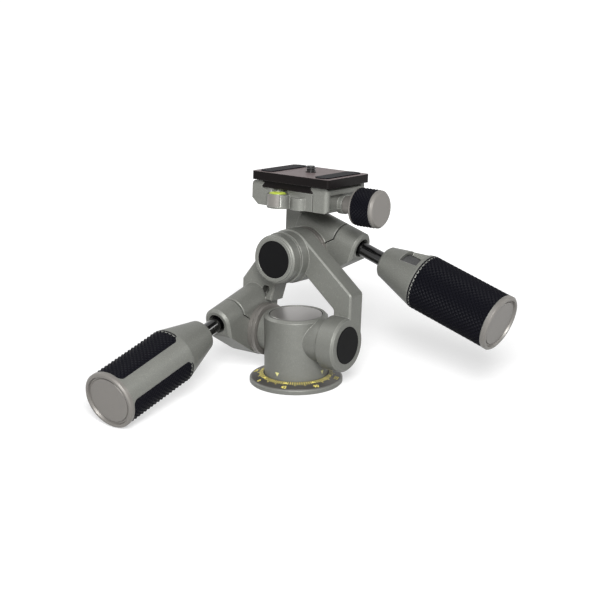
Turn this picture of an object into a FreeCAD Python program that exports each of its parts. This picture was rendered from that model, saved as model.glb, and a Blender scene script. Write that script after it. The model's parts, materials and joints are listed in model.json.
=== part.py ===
"""Three way pan tilt head: pan base, side tilt yoke, roll platform, two clamp handles, plate clamp."""
import FreeCAD, Part
import Sketcher
import os
import re

# Driving dimensions in millimetres and degrees. Each becomes one named cell of the sheet.
SIZES = {
    # attitude at rest: the tilt part leans back a little, its front up
    "rest_tilt": 3.5,
    "axis_rise": 30.8,
    # base disc and pan bearing
    "base_radius": 30.0,
    "base_height": 3.4,
    "base_bevel": 0.6,
    "hub_radius": 10.0,
    "hub_top": 17.5,
    "thread_radius": 3.97,
    "thread_depth": 9.0,
    "insert_depth": 10.0,
    "insert_radius": 6.5,
    "pan_gap": 0.3,
    "pan_radius": 20.5,
    "pan_top": 45.2,
    "pan_bevel": 1.6,
    "pan_cap_radius": 17.2,
    "pan_cap_sink": 1.6,
    "pan_cap_drop": 0.5,
    "spigot_radius": 14.2,
    "spigot_right": 26.0,
    "spigot_left": 21.0,
    # shafts and their fits
    "axle_radius": 7.0,
    "shaft_fit": 0.05,
    "loose_fit": 0.35,
    "side_gap": 0.3,
    "bush_wall": 2.0,
    "bush_length": 3.0,
    "washer_width": 2.5,
    "nut_height": 3.0,
    "ring_radius": 17.0,
    "flange_width": 2.5,
    # pan lock on the back
    "lock_rise": 12.0,
    "lock_stud_radius": 3.0,
    "lock_knob_radius": 7.8,
    "lock_knob_length": 7.5,
    "lock_gap": 1.0,
    "lock_boss_radius": 6.0,
    "lock_boss_reach": 22.5,
    # yoke: leg and boss at the right, arm across to the roll eye, web at the left
    "arm_front": 1.5,
    "arm_depth": 14.0,
    "arm_slope": 39.5,
    "arm_width": 16.6,
    "arm_corner": 3.0,
    "edge_break": 0.9,
    "leg_inner": 26.8,
    "leg_outer": 39.6,
    "boss_inner": 26.3,
    "boss_radius": 17.3,
    "boss_bevel": 1.4,
    "cap_radius": 12.0,
    "cap_sink": 2.0,
    "cap_proud": 0.4,
    "roll_x": -9.6,
    "roll_rise": 49.6,
    "eye_radius": 17.3,
    "web_corner": 30.0,
    "web_lean": 53.0,
    "web_notch": 18.0,
    "slot_depth": 8.0,
    "nose_collar": 16.5,
    "nose_collar_length": 7.0,
    "nose_radius": 15.6,
    "nose_reach": 15.0,
    "bezel_radius": 14.5,
    # handle clamps: both are alike and sit over their axle
    "tilt_slope": 16.0,
    "roll_slope": 17.5,
    "lift": 17.3,
    "barrel_radius": 9.7,
    "housing_radius": 17.3,
    "barrel_back": -13.0,
    "split_near": 11.5,
    "split_top": 16.2,
    "split_drop": 4.7,
    "split_gap": 1.0,
    "jaw_length": 20.8,
    "jaw_step": 9.3,
    "jaw_foot": -12.0,
    "jaw_bevel": 1.5,
    "counterbore_radius": 6.2,
    "counterbore_depth": 9.3,
    "jaw_bore_radius": 4.4,
    "shoe_width": 8.0,
    "shoe_half": 5.5,
    # handles: stud, collar and rod are one turned bar, the grip slides on it
    "stud_radius": 4.0,
    "stud_back": -5.0,
    "collar_start": 24.3,
    "collar_length": 2.7,
    "collar_radius": 5.7,
    "rod_radius": 4.65,
    "grip_start": 49.0,
    "grip_nose_radius": 10.3,
    "grip_shoulder": 78.0,
    "grip_radius": 18.0,
    "grip_end": 137.0,
    "grip_wall": 3.0,
    "panel_thick": 1.6,
    "strip_angle": 47.0,
    "panel_corner": 3.5,
    "panel_margin": 2.5,
    "end_cap_width": 3.0,
    "ring_start": 63.0,
    "ring_width": 12.0,
    "ring_outer": 11.0,
    "window_angle": 74.0,
    "tilt_grip_twist": 120.0,
    "roll_grip_twist": 9.0,
    "roll_grip_out": 3.5,
    # platform
    "deck_left": -29.3,
    "deck_right": 28.0,
    "deck_front": -12.0,
    "deck_back": 31.0,
    "deck_bottom": 82.9,
    "deck_top": 98.2,
    "deck_split": 17.5,
    "deck_bevel": 1.5,
    "deck_corner": 2.8,
    "deck_side": 87.0,
    "deck_foot": -24.5,
    "jaw_slot": 0.6,
    "dove_middle": -2.4,
    "dove_tip": 19.2,
    "dove_undercut": 1.5,
    "dove_land": 1.0,
    "dove_depth": 4.1,
    "dove_fit": 0.35,
    "level_x": -8.0,
    "level_y": -14.0,
    "level_boss": 7.8,
    "level_radius": 6.3,
    "level_height": 8.6,
    "vial_radius": 5.5,
    "bump_x": 6.3,
    "bump_radius": 6.0,
    "bump_set": 2.5,
    "bump_top": 7.6,
    "pin_radius": 2.0,
    "pin_spread": 13.0,
    "screw_rise": 86.6,
    "screw_y": 9.5,
    "screw_radius": 3.0,
    "pocket_depth": 3.0,
    "pocket_half": 18.0,
    "pocket_low": 1.6,
    "pocket_high": 4.2,
    "knob_neck": 5.5,
    "knob_reach": 7.6,
    "knob_radius": 12.1,
    "knob_length": 18.0,
    "knob_core": 10.4,
    # quick release plate and camera screw
    "plate_width": 58.3,
    "plate_depth": 45.5,
    "plate_x": 2.5,
    "plate_y": 6.1,
    "plate_thick": 5.3,
    "plate_gap": 1.1,
    "plate_corner": 2.0,
    "pad_thick": 0.6,
    "pad_width": 10.0,
    "pad_inset": 3.5,
    "pad_margin": 2.5,
    "pad_corner": 4.0,
    "slide_travel": 12.0,
    "stop_offset": -13.0,
    "stop_radius": 1.5,
    "stop_depth": 4.0,
    "stop_proud": 1.6,
    "camera_thread": 3.175,
    "camera_proud": 4.0,
    "camera_neck": 2.4,
    "camera_head_radius": 8.0,
    "camera_head": 2.6,
}
FAILED_STATES = ("Invalid", "Error")

doc = FreeCAD.newDocument("PanTiltHead")
sheet = doc.addObject("Spreadsheet::Sheet", "Sizes")
for row, (name, size) in enumerate(SIZES.items(), start=1):
    sheet.set(f"A{row}", name)
    sheet.set(f"B{row}", str(size))
    sheet.setAlias(f"B{row}", name)
doc.recompute()

NAME = re.compile(r"[a-z][a-z_]+")
FULL_TURN = 360
HALF_TURN = 180
pieces = []


def ref(text):
    """Point every size name in an expression at its cell."""
    return NAME.sub(lambda m: f"Sizes.{m.group()}" if m.group() in SIZES else m.group(), str(text))


def value(text):
    """The number that an expression gives at the present sizes."""
    return float(sheet.evalExpression(ref(text)))


# Frames: the tilt part about its axle, each clamp about its axle with X along its handle, each grip
# about its rod with its window upwards.
STEADY = "rotation(vector(0; 0; 1); 0)"
WORLD = f"placement(vector(0; 0; 0); {STEADY})"
TILT = "placement(vector(0; 0; axis_rise); rotation(vector(1; 0; 0); -rest_tilt))"
ROLL = f"{TILT} * placement(vector(roll_x; 0; roll_rise); {STEADY})"
ARM_BACK = "(arm_front + arm_depth)"
TILT_NEAR = "(spigot_left + flange_width + side_gap + washer_width)"
TILT_CLAMP_X = f"(-{TILT_NEAR} - barrel_radius)"
ROLL_NEAR = f"({ARM_BACK} + flange_width + side_gap + washer_width)"
ROLL_CLAMP_Y = f"({ROLL_NEAR} + barrel_radius)"


def leaning(slope):
    """The turn that slants a handle down from level."""
    return f" * placement(vector(0; 0; 0); rotation(vector(0; 1; 0); {slope}))"


def on_rod(out, twist):
    """The step from a clamp's frame to its grip's."""
    return f" * placement(vector({out}; 0; lift); rotation(vector(1; 0; 0); {twist}))"


TURNED_FORWARD = f" * placement(vector({TILT_CLAMP_X}; 0; 0); rotation(vector(0; 0; 1); -90))"
TILT_CLAMP = TILT + TURNED_FORWARD + leaning("tilt_slope")
ROLL_CLAMP = f"{ROLL} * placement(vector(0; {ROLL_CLAMP_Y}; 0); {STEADY})" + leaning("roll_slope")


def piece(label, frame=WORLD):
    """One body in its own frame; its file takes its label."""
    made = doc.addObject("PartDesign::Body", label)
    made.Label = label
    made.AllowCompound = True
    made.setExpression("Placement", ref(frame))
    pieces.append(made)
    return made


def sketch(owner, plane, shift=(0, 0, 0), turn=0):
    """A sketch on an origin plane, moved by shift (its own X, Y and normal) and turned about its normal."""
    support = [item for item in owner.Origin.OriginFeatures if item.Role == plane + "_Plane"][0]
    made = owner.newObject("Sketcher::SketchObject", "Sketch")
    made.AttachmentSupport = [(support, "")]
    made.MapMode = "FlatFace"
    across, up, out = shift
    offset = f"placement(vector({across}; {up}; {out}); rotation(vector(0; 0; 1); {turn}))"
    made.setExpression("AttachmentOffset", ref(offset))
    return made


def hold(drawn, kind, geometry, point, text):
    """Tie one coordinate of a point to an expression."""
    rule = drawn.addConstraint(Sketcher.Constraint(kind, -1, 1, geometry, point, value(text)))
    drawn.setExpression(f"Constraints[{rule}]", ref(text))


def polygon(drawn, points):
    """A closed outline whose corners follow their expressions."""
    corners = [FreeCAD.Vector(value(across), value(up), 0) for across, up in points]
    first = drawn.GeometryCount
    count = len(corners)
    for index in range(count):
        drawn.addGeometry(Part.LineSegment(corners[index], corners[(index + 1) % count]))
    for index in range(count):
        following = first + (index + 1) % count
        drawn.addConstraint(Sketcher.Constraint("Coincident", first + index, 2, following, 1))
    for index, (across, up) in enumerate(points):
        hold(drawn, "DistanceX", first + index, 1, across)
        hold(drawn, "DistanceY", first + index, 1, up)
    return drawn


def circle(drawn, across, up, radius):
    """A circle whose centre and radius follow their expressions."""
    centre = FreeCAD.Vector(value(across), value(up), 0)
    made = drawn.addGeometry(Part.Circle(centre, FreeCAD.Vector(0, 0, 1), value(radius)))
    hold(drawn, "DistanceX", made, 3, across)
    hold(drawn, "DistanceY", made, 3, up)
    rule = drawn.addConstraint(Sketcher.Constraint("Radius", made, value(radius)))
    drawn.setExpression(f"Constraints[{rule}]", ref(radius))
    return drawn


def box_outline(drawn, left, low, right, high):
    """A rectangle between two corners."""
    return polygon(drawn, [(left, low), (right, low), (right, high), (left, high)])


def extrude(owner, kind, drawn, length, middle=False, back=False):
    """Pad or pocket a sketch; middle spreads it to both sides, back turns it round."""
    made = owner.newObject(f"PartDesign::{kind}", kind)
    made.Profile = drawn
    made.setExpression("Length", ref(length))
    made.Reversed = back
    if middle:
        made.SideType = "Symmetric"
    owner.Tip = made
    return made


def pad(owner, drawn, length, middle=False, back=False):
    return extrude(owner, "Pad", drawn, length, middle, back)


def pocket(owner, drawn, length, middle=False, back=False):
    """A pocket cuts against its sketch's normal, so back cuts along it."""
    return extrude(owner, "Pocket", drawn, length, middle, back)


PLANE_OF = {"X": ("XZ", "H_Axis"), "Y": ("YZ", "H_Axis"), "Z": ("XZ", "V_Axis")}


def turned(owner, axis, points, shift=(0, 0, 0), turn=0, cut=False, angle=FULL_TURN, plane=None):
    """Revolve a profile of (along, radius) points about an axis through shift."""
    drawing_plane, axis_name = PLANE_OF[axis]
    if axis == "Z":
        points = [(radius, along) for along, radius in points]
    drawn = polygon(sketch(owner, plane or drawing_plane, shift, turn), points)
    kind = "Groove" if cut else "Revolution"
    made = owner.newObject(f"PartDesign::{kind}", kind)
    made.Profile = drawn
    made.ReferenceAxis = (drawn, [axis_name])
    made.setExpression("Angle", ref(angle))
    made.Midplane = angle != FULL_TURN
    owner.Tip = made
    return made


def repeated(owner, feature, drawn, count):
    """Copies of a feature round the sketch's long axis."""
    made = owner.newObject("PartDesign::PolarPattern", "Copies")
    made.Originals = [feature]
    made.Axis = (drawn, ["H_Axis"])
    made.Angle = FULL_TURN
    made.Occurrences = count
    owner.Tip = made
    return made


def eased(owner, kind, size, wanted):
    """Round or bevel the edges that wanted picks."""
    doc.recompute()
    base = owner.Tip
    names = []
    for number, edge in enumerate(base.Shape.Edges, start=1):
        if wanted(edge):
            names.append(f"Edge{number}")
    made = owner.newObject(f"PartDesign::{kind}", kind)
    made.Base = (base, names)
    made.setExpression("Radius" if kind == "Fillet" else "Size", ref(size))
    owner.Tip = made
    return made


CLOSE = 0.01


def corner_at(places, across, up):
    """Picks the straight edges that stand on the given points of the plane of two axes."""
    spots = [(value(first), value(second)) for first, second in places]

    def wanted(edge):
        ends = [vertex.Point for vertex in edge.Vertexes]
        if len(ends) != 2 or edge.Curve.TypeId != "Part::GeomLine":
            return False
        for first, second in spots:
            if all(abs(end[across] - first) < CLOSE and abs(end[up] - second) < CLOSE for end in ends):
                return True
        return False

    return wanted


def bar(start, end, radius, bevel=0):
    """Profile of a solid bar with bevelled rims, as (along, radius) points."""
    if not bevel:
        return [(start, 0), (end, 0), (end, radius), (start, radius)]
    return [
        (start, 0),
        (end, 0),
        (end, f"{radius} - {bevel}"),
        (f"{end} - {bevel}", radius),
        (f"{start} + {bevel}", radius),
        (start, f"{radius} - {bevel}"),
    ]


def tube(start, end, inner, outer):
    """Profile of a tube, as (along, radius) points."""
    return [(start, inner), (end, inner), (end, outer), (start, outer)]


# ---------------------------------------------------------------- base and pan bearing
PAN_FLOOR = "(base_height + pan_gap)"


def base_disc():
    """Flat disc that stands on the tripod."""
    made = piece("base_disc")
    rim = [
        (0, "insert_radius"),
        (0, "base_radius - base_bevel"),
        ("base_bevel", "base_radius"),
        ("base_height - base_bevel", "base_radius"),
        ("base_height", "base_radius - base_bevel"),
        ("base_height", "insert_radius"),
    ]
    turned(made, "Z", rim)


def pan_hub():
    """Steel hub pressed over the insert; the pan drum turns on it."""
    made = piece("pan_hub")
    turned(made, "Z", bar("base_height", "hub_top", "hub_radius"))
    turned(made, "Z", bar(0, "insert_depth", "insert_radius"), cut=True)


def socket_insert():
    """Threaded steel insert that takes the tripod's 3/8 inch screw."""
    made = piece("tripod_socket_insert")
    turned(made, "Z", bar(0, "insert_depth", "insert_radius"))
    turned(made, "Z", bar(-1, "thread_depth", "thread_radius"), cut=True)


def pan_nut():
    """Flange nut on top of the hub that holds the pan housing down."""
    made = piece("pan_retaining_nut")
    turned(made, "Z", bar("hub_top", "hub_top + 2.5", "hub_radius + 2", 0.4))


def glide_washer():
    made = piece("pan_glide_washer")
    turned(made, "Z", tube("base_height", f"{PAN_FLOOR} - 0.1", "hub_radius + 1", "pan_radius - 2"))


def pan_housing():
    """Upright drum with a spigot each side for the tilt bearings and a boss for the pan lock."""
    made = piece("pan_housing")
    wall = [
        (PAN_FLOOR, "pan_radius - 0.8"),
        (f"{PAN_FLOOR} + 0.8", "pan_radius"),
        ("pan_top - pan_bevel", "pan_radius"),
        ("pan_top", "pan_radius - pan_bevel"),
        ("pan_top", "pan_cap_radius"),
        ("pan_top - pan_cap_sink", "pan_cap_radius"),
        ("pan_top - pan_cap_sink", 0),
        (PAN_FLOOR, 0),
    ]
    turned(made, "Z", wall)
    spigots = bar("-spigot_left", "spigot_right", "spigot_radius", 0.6)
    turned(made, "X", spigots, shift=(0, "axis_rise", 0))
    lock_boss = bar(0, "lock_boss_reach", "lock_boss_radius", 0.5)
    turned(made, "Y", lock_boss, shift=(0, "lock_rise", 0))
    # the pan cap's seat stays open where the spigots meet the drum
    turned(made, "Z", bar("pan_top - pan_cap_sink", "pan_top + 5", "pan_cap_radius"), cut=True)
    # hub well, then the groove that the retaining nut turns in
    turned(made, "Z", bar("base_height - 1", "hub_top", "hub_radius + shaft_fit"), cut=True)
    nut_room = bar("hub_top - 0.2", "hub_top + 3", "hub_radius + 2.5")
    turned(made, "Z", nut_room, cut=True)
    turned(made, "X", bar("-base_radius", "base_radius", "axle_radius"), shift=(0, "axis_rise", 0), cut=True)
    stud_bore = bar(0, "lock_boss_reach + 1", "lock_stud_radius + shaft_fit")
    turned(made, "Y", stud_bore, shift=(0, "lock_rise", 0), cut=True)


def pan_cap():
    """Thin turned disc let into the drum's top."""
    made = piece("pan_top_cap")
    seat = "pan_top - pan_cap_sink"
    face = "pan_top - pan_cap_drop"
    disc = [
        (seat, 0),
        (face, 0),
        (face, "pan_cap_radius - 4"),
        (f"{face} - 0.3", "pan_cap_radius - 3.6"),
        (f"{face} - 0.3", "pan_cap_radius - 2.8"),
        (face, "pan_cap_radius - 2.4"),
        (face, "pan_cap_radius"),
        (seat, "pan_cap_radius"),
    ]
    turned(made, "Z", disc)


AXLE_LEFT = f"({TILT_CLAMP_X} - barrel_radius + cap_sink)"
AXLE_RIGHT = "(leg_outer - cap_sink)"


def tilt_axle():
    """Ground steel axle pressed through the pan drum; the yoke tilts on both its ends."""
    made = piece("tilt_axle", TILT)
    turned(made, "X", bar(AXLE_LEFT, AXLE_RIGHT, "axle_radius", 0.4))
    for end in (AXLE_LEFT, f"{AXLE_RIGHT} - 4"):
        turned(made, "X", bar(end, f"{end} + 4", "axle_radius / 3"), cut=True)


def tilt_flange():
    """Friction flange that stays with the pan drum beside the tilt clamp."""
    made = piece("tilt_flange_ring", TILT)
    profile = tube("-spigot_left - flange_width", "-spigot_left", "axle_radius", "ring_radius")
    turned(made, "X", profile)


def pan_lock():
    """Hand knob, stud and brake shoe that lock the pan on the back of the drum."""
    rise = (0, "lock_rise", 0)
    face = "lock_boss_reach + lock_gap"
    knob = piece("pan_lock_knob")
    shape = [
        (face, 0),
        (f"{face} + lock_knob_length", 0),
        (f"{face} + lock_knob_length", "lock_knob_radius - 1.5"),
        (f"{face} + lock_knob_length - 1", "lock_knob_radius"),
        (f"{face} + 2", "lock_knob_radius"),
        (face, "lock_knob_radius - 2"),
    ]
    turned(knob, "Y", shape, shift=rise)
    flute = circle(sketch(knob, "XZ", (0, "lock_rise", 0)), 0, "lock_knob_radius + 1.2", 2.0)
    cut = pocket(knob, flute, f"{face} + lock_knob_length + 1", back=False)
    made = knob.newObject("PartDesign::PolarPattern", "Flutes")
    made.Originals = [cut]
    made.Axis = (flute, ["N_Axis"])
    made.Angle = FULL_TURN
    made.Occurrences = 10
    knob.Tip = made
    stud_end = f"{face} + lock_knob_length - 2"
    turned(knob, "Y", bar(f"{face} - 1", stud_end, "lock_stud_radius"), shift=rise, cut=True)
    stud = piece("pan_lock_stud")
    turned(stud, "Y", bar("hub_radius + 4.5", stud_end, "lock_stud_radius", 0.4), shift=rise)


def pan_lock_shoe():
    """Plug of brake lining between the stud and the hub."""
    made = piece("pan_lock_shoe")
    plug = bar("hub_radius + 0.5", "hub_radius + 4", "lock_stud_radius")
    turned(made, "Y", plug, shift=(0, "lock_rise", 0))


# ---------------------------------------------------------------- handle clamps
SPLIT_FAR = "(split_near + split_gap)"
JAW_END = "(split_near + split_gap + jaw_length)"
BORE = "(axle_radius + shaft_fit)"
BUSH_OUTER = "(axle_radius + bush_wall)"


def mirrored(points, sign):
    """Turn outward distances round for a plane whose X points to the back."""
    if sign > 0:
        return points
    return [(f"-({along})", up) for along, up in points]


def clamp_half(owner, plane, centre, slope, sign):
    """The cast half of a clamp: housing round the axle, barrel over it, stepped split face."""
    turn = f"(-({sign}) * {slope})"
    across = f"({centre[0]} + ({sign}) * lift * sin({slope}))"
    high = (across, f"({centre[1]} + lift * cos({slope}))", centre[2])
    width = "2 * barrel_radius"
    pad(owner, circle(sketch(owner, plane, centre, turn), 0, 0, "housing_radius"), width, middle=True)
    saddle = [
        ("barrel_back", 0),
        ("split_near", 0),
        ("split_near", "lift - split_drop"),
        ("split_top", "lift"),
        ("barrel_back", "lift"),
    ]
    pad(owner, polygon(sketch(owner, plane, centre, turn), mirrored(saddle, sign)), width, middle=True)
    barrel = [
        ("barrel_back", 0),
        ("split_top", 0),
        ("split_top", "barrel_radius - 0.4"),
        ("split_top - 0.4", "barrel_radius"),
        ("barrel_back", "barrel_radius"),
    ]
    turned(owner, "X", mirrored(barrel, sign), shift=high, turn=turn, plane=plane)
    far = "(2 * jaw_length)"
    beyond = [
        ("split_near", "-housing_radius - 1"),
        (far, "-housing_radius - 1"),
        (far, "lift + barrel_radius + 1"),
        ("split_top", "lift + barrel_radius + 1"),
        ("split_top", "lift"),
        ("split_near", "lift - split_drop"),
    ]
    drawn = polygon(sketch(owner, plane, centre, turn), mirrored(beyond, sign))
    pocket(owner, drawn, f"{width} + 2", middle=True)
    thread = mirrored(bar("stud_back - 2", "split_top + 1", "stud_radius + shaft_fit"), sign)
    turned(owner, "X", thread, shift=high, turn=turn, plane=plane, cut=True)
    half = "(shoe_half + 0.5)"
    slot = [(3, f"-{half}"), ("split_top", f"-{half}"), ("split_top", half), (3, half)]
    drawn = polygon(sketch(owner, plane, centre, turn), mirrored(slot, sign))
    pocket(owner, drawn, "shoe_width + 1", middle=True)


def clamp_jaw(label, frame):
    """Pinch jaw with the rod's counterbore in its outer end and a slanted foot."""
    made = piece(label, frame)
    near = "(split_top + split_gap)"
    body = [
        (near, "lift"),
        (SPLIT_FAR, "lift - split_drop"),
        (SPLIT_FAR, "jaw_foot"),
        (JAW_END, "jaw_step"),
        (JAW_END, "lift"),
    ]
    pad(made, polygon(sketch(made, "XZ"), body), "2 * barrel_radius", middle=True)
    barrel = [
        (near, 0),
        (JAW_END, 0),
        (JAW_END, "barrel_radius"),
        (f"{near} + 0.4", "barrel_radius"),
        (near, "barrel_radius - 0.4"),
    ]
    over = (0, "lift", 0)
    turned(made, "X", barrel, shift=over, angle=HALF_TURN)
    end = value(JAW_END)
    eased(made, "Chamfer", "jaw_bevel", lambda edge: abs(edge.BoundBox.XMin - end) < CLOSE)
    turned(made, "X", bar(0, JAW_END, "jaw_bore_radius"), shift=over, cut=True)
    counterbore = bar(f"{JAW_END} - counterbore_depth", f"{JAW_END} + 1", "counterbore_radius")
    turned(made, "X", counterbore, shift=over, cut=True)


def brake_shoe(label, frame):
    """Block behind the jaw that bears on the axle with a hollow face."""
    made = piece(label, frame)
    reach = "(axle_radius + loose_fit)"
    box_outline(drawn := sketch(made, "XZ"), 4, "-shoe_half", SPLIT_FAR, "shoe_half")
    pad(made, drawn, "shoe_width", middle=True)
    pocket(made, circle(sketch(made, "XZ"), 0, 0, reach), "shoe_width + 2", middle=True)


ROD_END = "(grip_end - end_cap_width - 9)"


def handle_rod(label, frame):
    """Screwed stud, clamping collar and polished rod, turned from one bar."""
    made = piece(label, frame)
    collar_end = "(collar_start + collar_length)"
    profile = [
        ("stud_back", 0),
        (ROD_END, 0),
        (ROD_END, "rod_radius - 0.5"),
        (f"{ROD_END} - 0.5", "rod_radius"),
        (collar_end, "rod_radius"),
        (collar_end, "collar_radius"),
        ("collar_start", "collar_radius"),
        ("collar_start", "stud_radius"),
        ("stud_back + 0.5", "stud_radius"),
        ("stud_back", "stud_radius - 0.5"),
    ]
    turned(made, "X", profile, shift=(0, "lift", 0))


PANEL_START = "(grip_shoulder + panel_margin)"
PANEL_END = "(grip_end - end_cap_width - 0.6)"
PANEL_SEAT = "(grip_radius - panel_thick)"
SLEEVE_ANGLE = f"({FULL_TURN} - strip_angle)"
GRIP_BORE = "(grip_radius - grip_wall - panel_thick)"
BUSH_SEAT = "(ring_start + ring_width + 3)"


def sleeve_corners(owner):
    """Rounds the four corners of the rubber, or of its seat, beside the bare strip."""
    ends = [value(PANEL_START), value(PANEL_END)]

    def wanted(edge):
        box = edge.BoundBox
        if edge.Curve.TypeId != "Part::GeomLine" or box.XLength > CLOSE:
            return False
        return any(abs(box.XMin - end) < CLOSE for end in ends)

    eased(owner, "Fillet", "panel_corner", wanted)


def grip_core(label, frame):
    """Moulded grip: cone, barrel with the rubber's seat, bore for the rod, window for the lock ring."""
    made = piece(label, frame)
    land = "(grip_radius - 0.4)"
    skin = [
        ("grip_start", "rod_radius + loose_fit"),
        ("grip_start", "grip_nose_radius - 1.2"),
        ("grip_start + 1.2", "grip_nose_radius"),
        ("grip_start + 4", "grip_nose_radius + 0.7"),
        ("grip_shoulder", land),
        (PANEL_END, land),
        ("grip_end - end_cap_width", land),
        ("grip_end - end_cap_width", GRIP_BORE),
        (BUSH_SEAT, GRIP_BORE),
        (BUSH_SEAT, "rod_radius + loose_fit"),
    ]
    turned(made, "X", skin)
    seat = tube(PANEL_START, PANEL_END, PANEL_SEAT, "grip_radius + 1")
    turned(made, "X", seat, cut=True, angle=SLEEVE_ANGLE)
    sleeve_corners(made)
    room = bar("ring_start - loose_fit", "ring_start + ring_width + loose_fit", "ring_outer + loose_fit")
    turned(made, "X", room, cut=True)
    window = [
        ("ring_start + 0.6", "rod_radius + 1.5"),
        ("ring_start + ring_width - 0.6", "rod_radius + 1.5"),
        ("ring_start + ring_width + 1.5", "grip_radius"),
        ("ring_start - 0.5", "grip_radius"),
    ]
    turned(made, "X", window, cut=True, angle="window_angle")


def grip_panels(label, frame):
    """Rubber sleeve round the grip, open along one bare strip."""
    made = piece(label, frame)
    skin = tube(PANEL_START, PANEL_END, PANEL_SEAT, "grip_radius")
    turned(made, "X", skin, angle=SLEEVE_ANGLE)
    sleeve_corners(made)


def grip_end(label, frame):
    """Metal end cap with a rim, a groove and a flat disc."""
    made = piece(label, frame)
    start = "(grip_end - end_cap_width)"
    profile = [
        (f"{start} - end_cap_width", 0),
        ("grip_end - 0.8", 0),
        ("grip_end - 0.8", "grip_radius - 4"),
        ("grip_end - 1.4", "grip_radius - 3.6"),
        ("grip_end - 1.4", "grip_radius - 2.8"),
        ("grip_end", "grip_radius - 2.2"),
        ("grip_end", "grip_radius - 0.9"),
        ("grip_end - 0.9", "grip_radius"),
        (start, "grip_radius"),
        (start, GRIP_BORE),
        (f"{start} - end_cap_width", GRIP_BORE),
    ]
    turned(made, "X", profile)


def guide_bush(label, frame):
    """Plain bush in the grip that slides on the rod."""
    made = piece(label, frame)
    end = f"{BUSH_SEAT} + 2 * stud_radius"
    turned(made, "X", tube(BUSH_SEAT, end, "rod_radius + shaft_fit", GRIP_BORE))


def lock_ring(label, frame):
    """Knurled ring in the grip's window that locks the grip's slide."""
    made = piece(label, frame)
    turned(made, "X", tube("ring_start", "ring_start + ring_width", "rod_radius + 0.3", "ring_outer"))


def clamp_handle(name, frame, grip_frame):
    """All the pieces of one clamp and its telescoping handle."""
    clamp_jaw(f"{name}_clamp_jaw", frame)
    brake_shoe(f"{name}_brake_shoe", frame)
    handle_rod(f"{name}_handle_rod", frame)
    grip_core(f"{name}_grip_core", grip_frame)
    grip_panels(f"{name}_grip_panels", grip_frame)
    grip_end(f"{name}_grip_end_cap", grip_frame)
    guide_bush(f"{name}_grip_bush", grip_frame)
    lock_ring(f"{name}_grip_lock_ring", grip_frame)


# ---------------------------------------------------------------- yoke
WEB_OUTER = f"({TILT_CLAMP_X} - barrel_radius)"
WEB_INNER = f"(-{TILT_NEAR})"
TOP_X = "(roll_x + eye_radius * sin(arm_slope))"
TOP_Z = "(roll_rise + eye_radius * cos(arm_slope))"
LOW_X = f"({TOP_X} - arm_width * sin(arm_slope))"
LOW_Z = f"({TOP_Z} - arm_width * cos(arm_slope))"
OUTER_Z = f"({TOP_Z} - (leg_outer - {TOP_X}) * tan(arm_slope))"
INNER_Z = f"({LOW_Z} - (leg_inner - {LOW_X}) * tan(arm_slope))"


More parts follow.
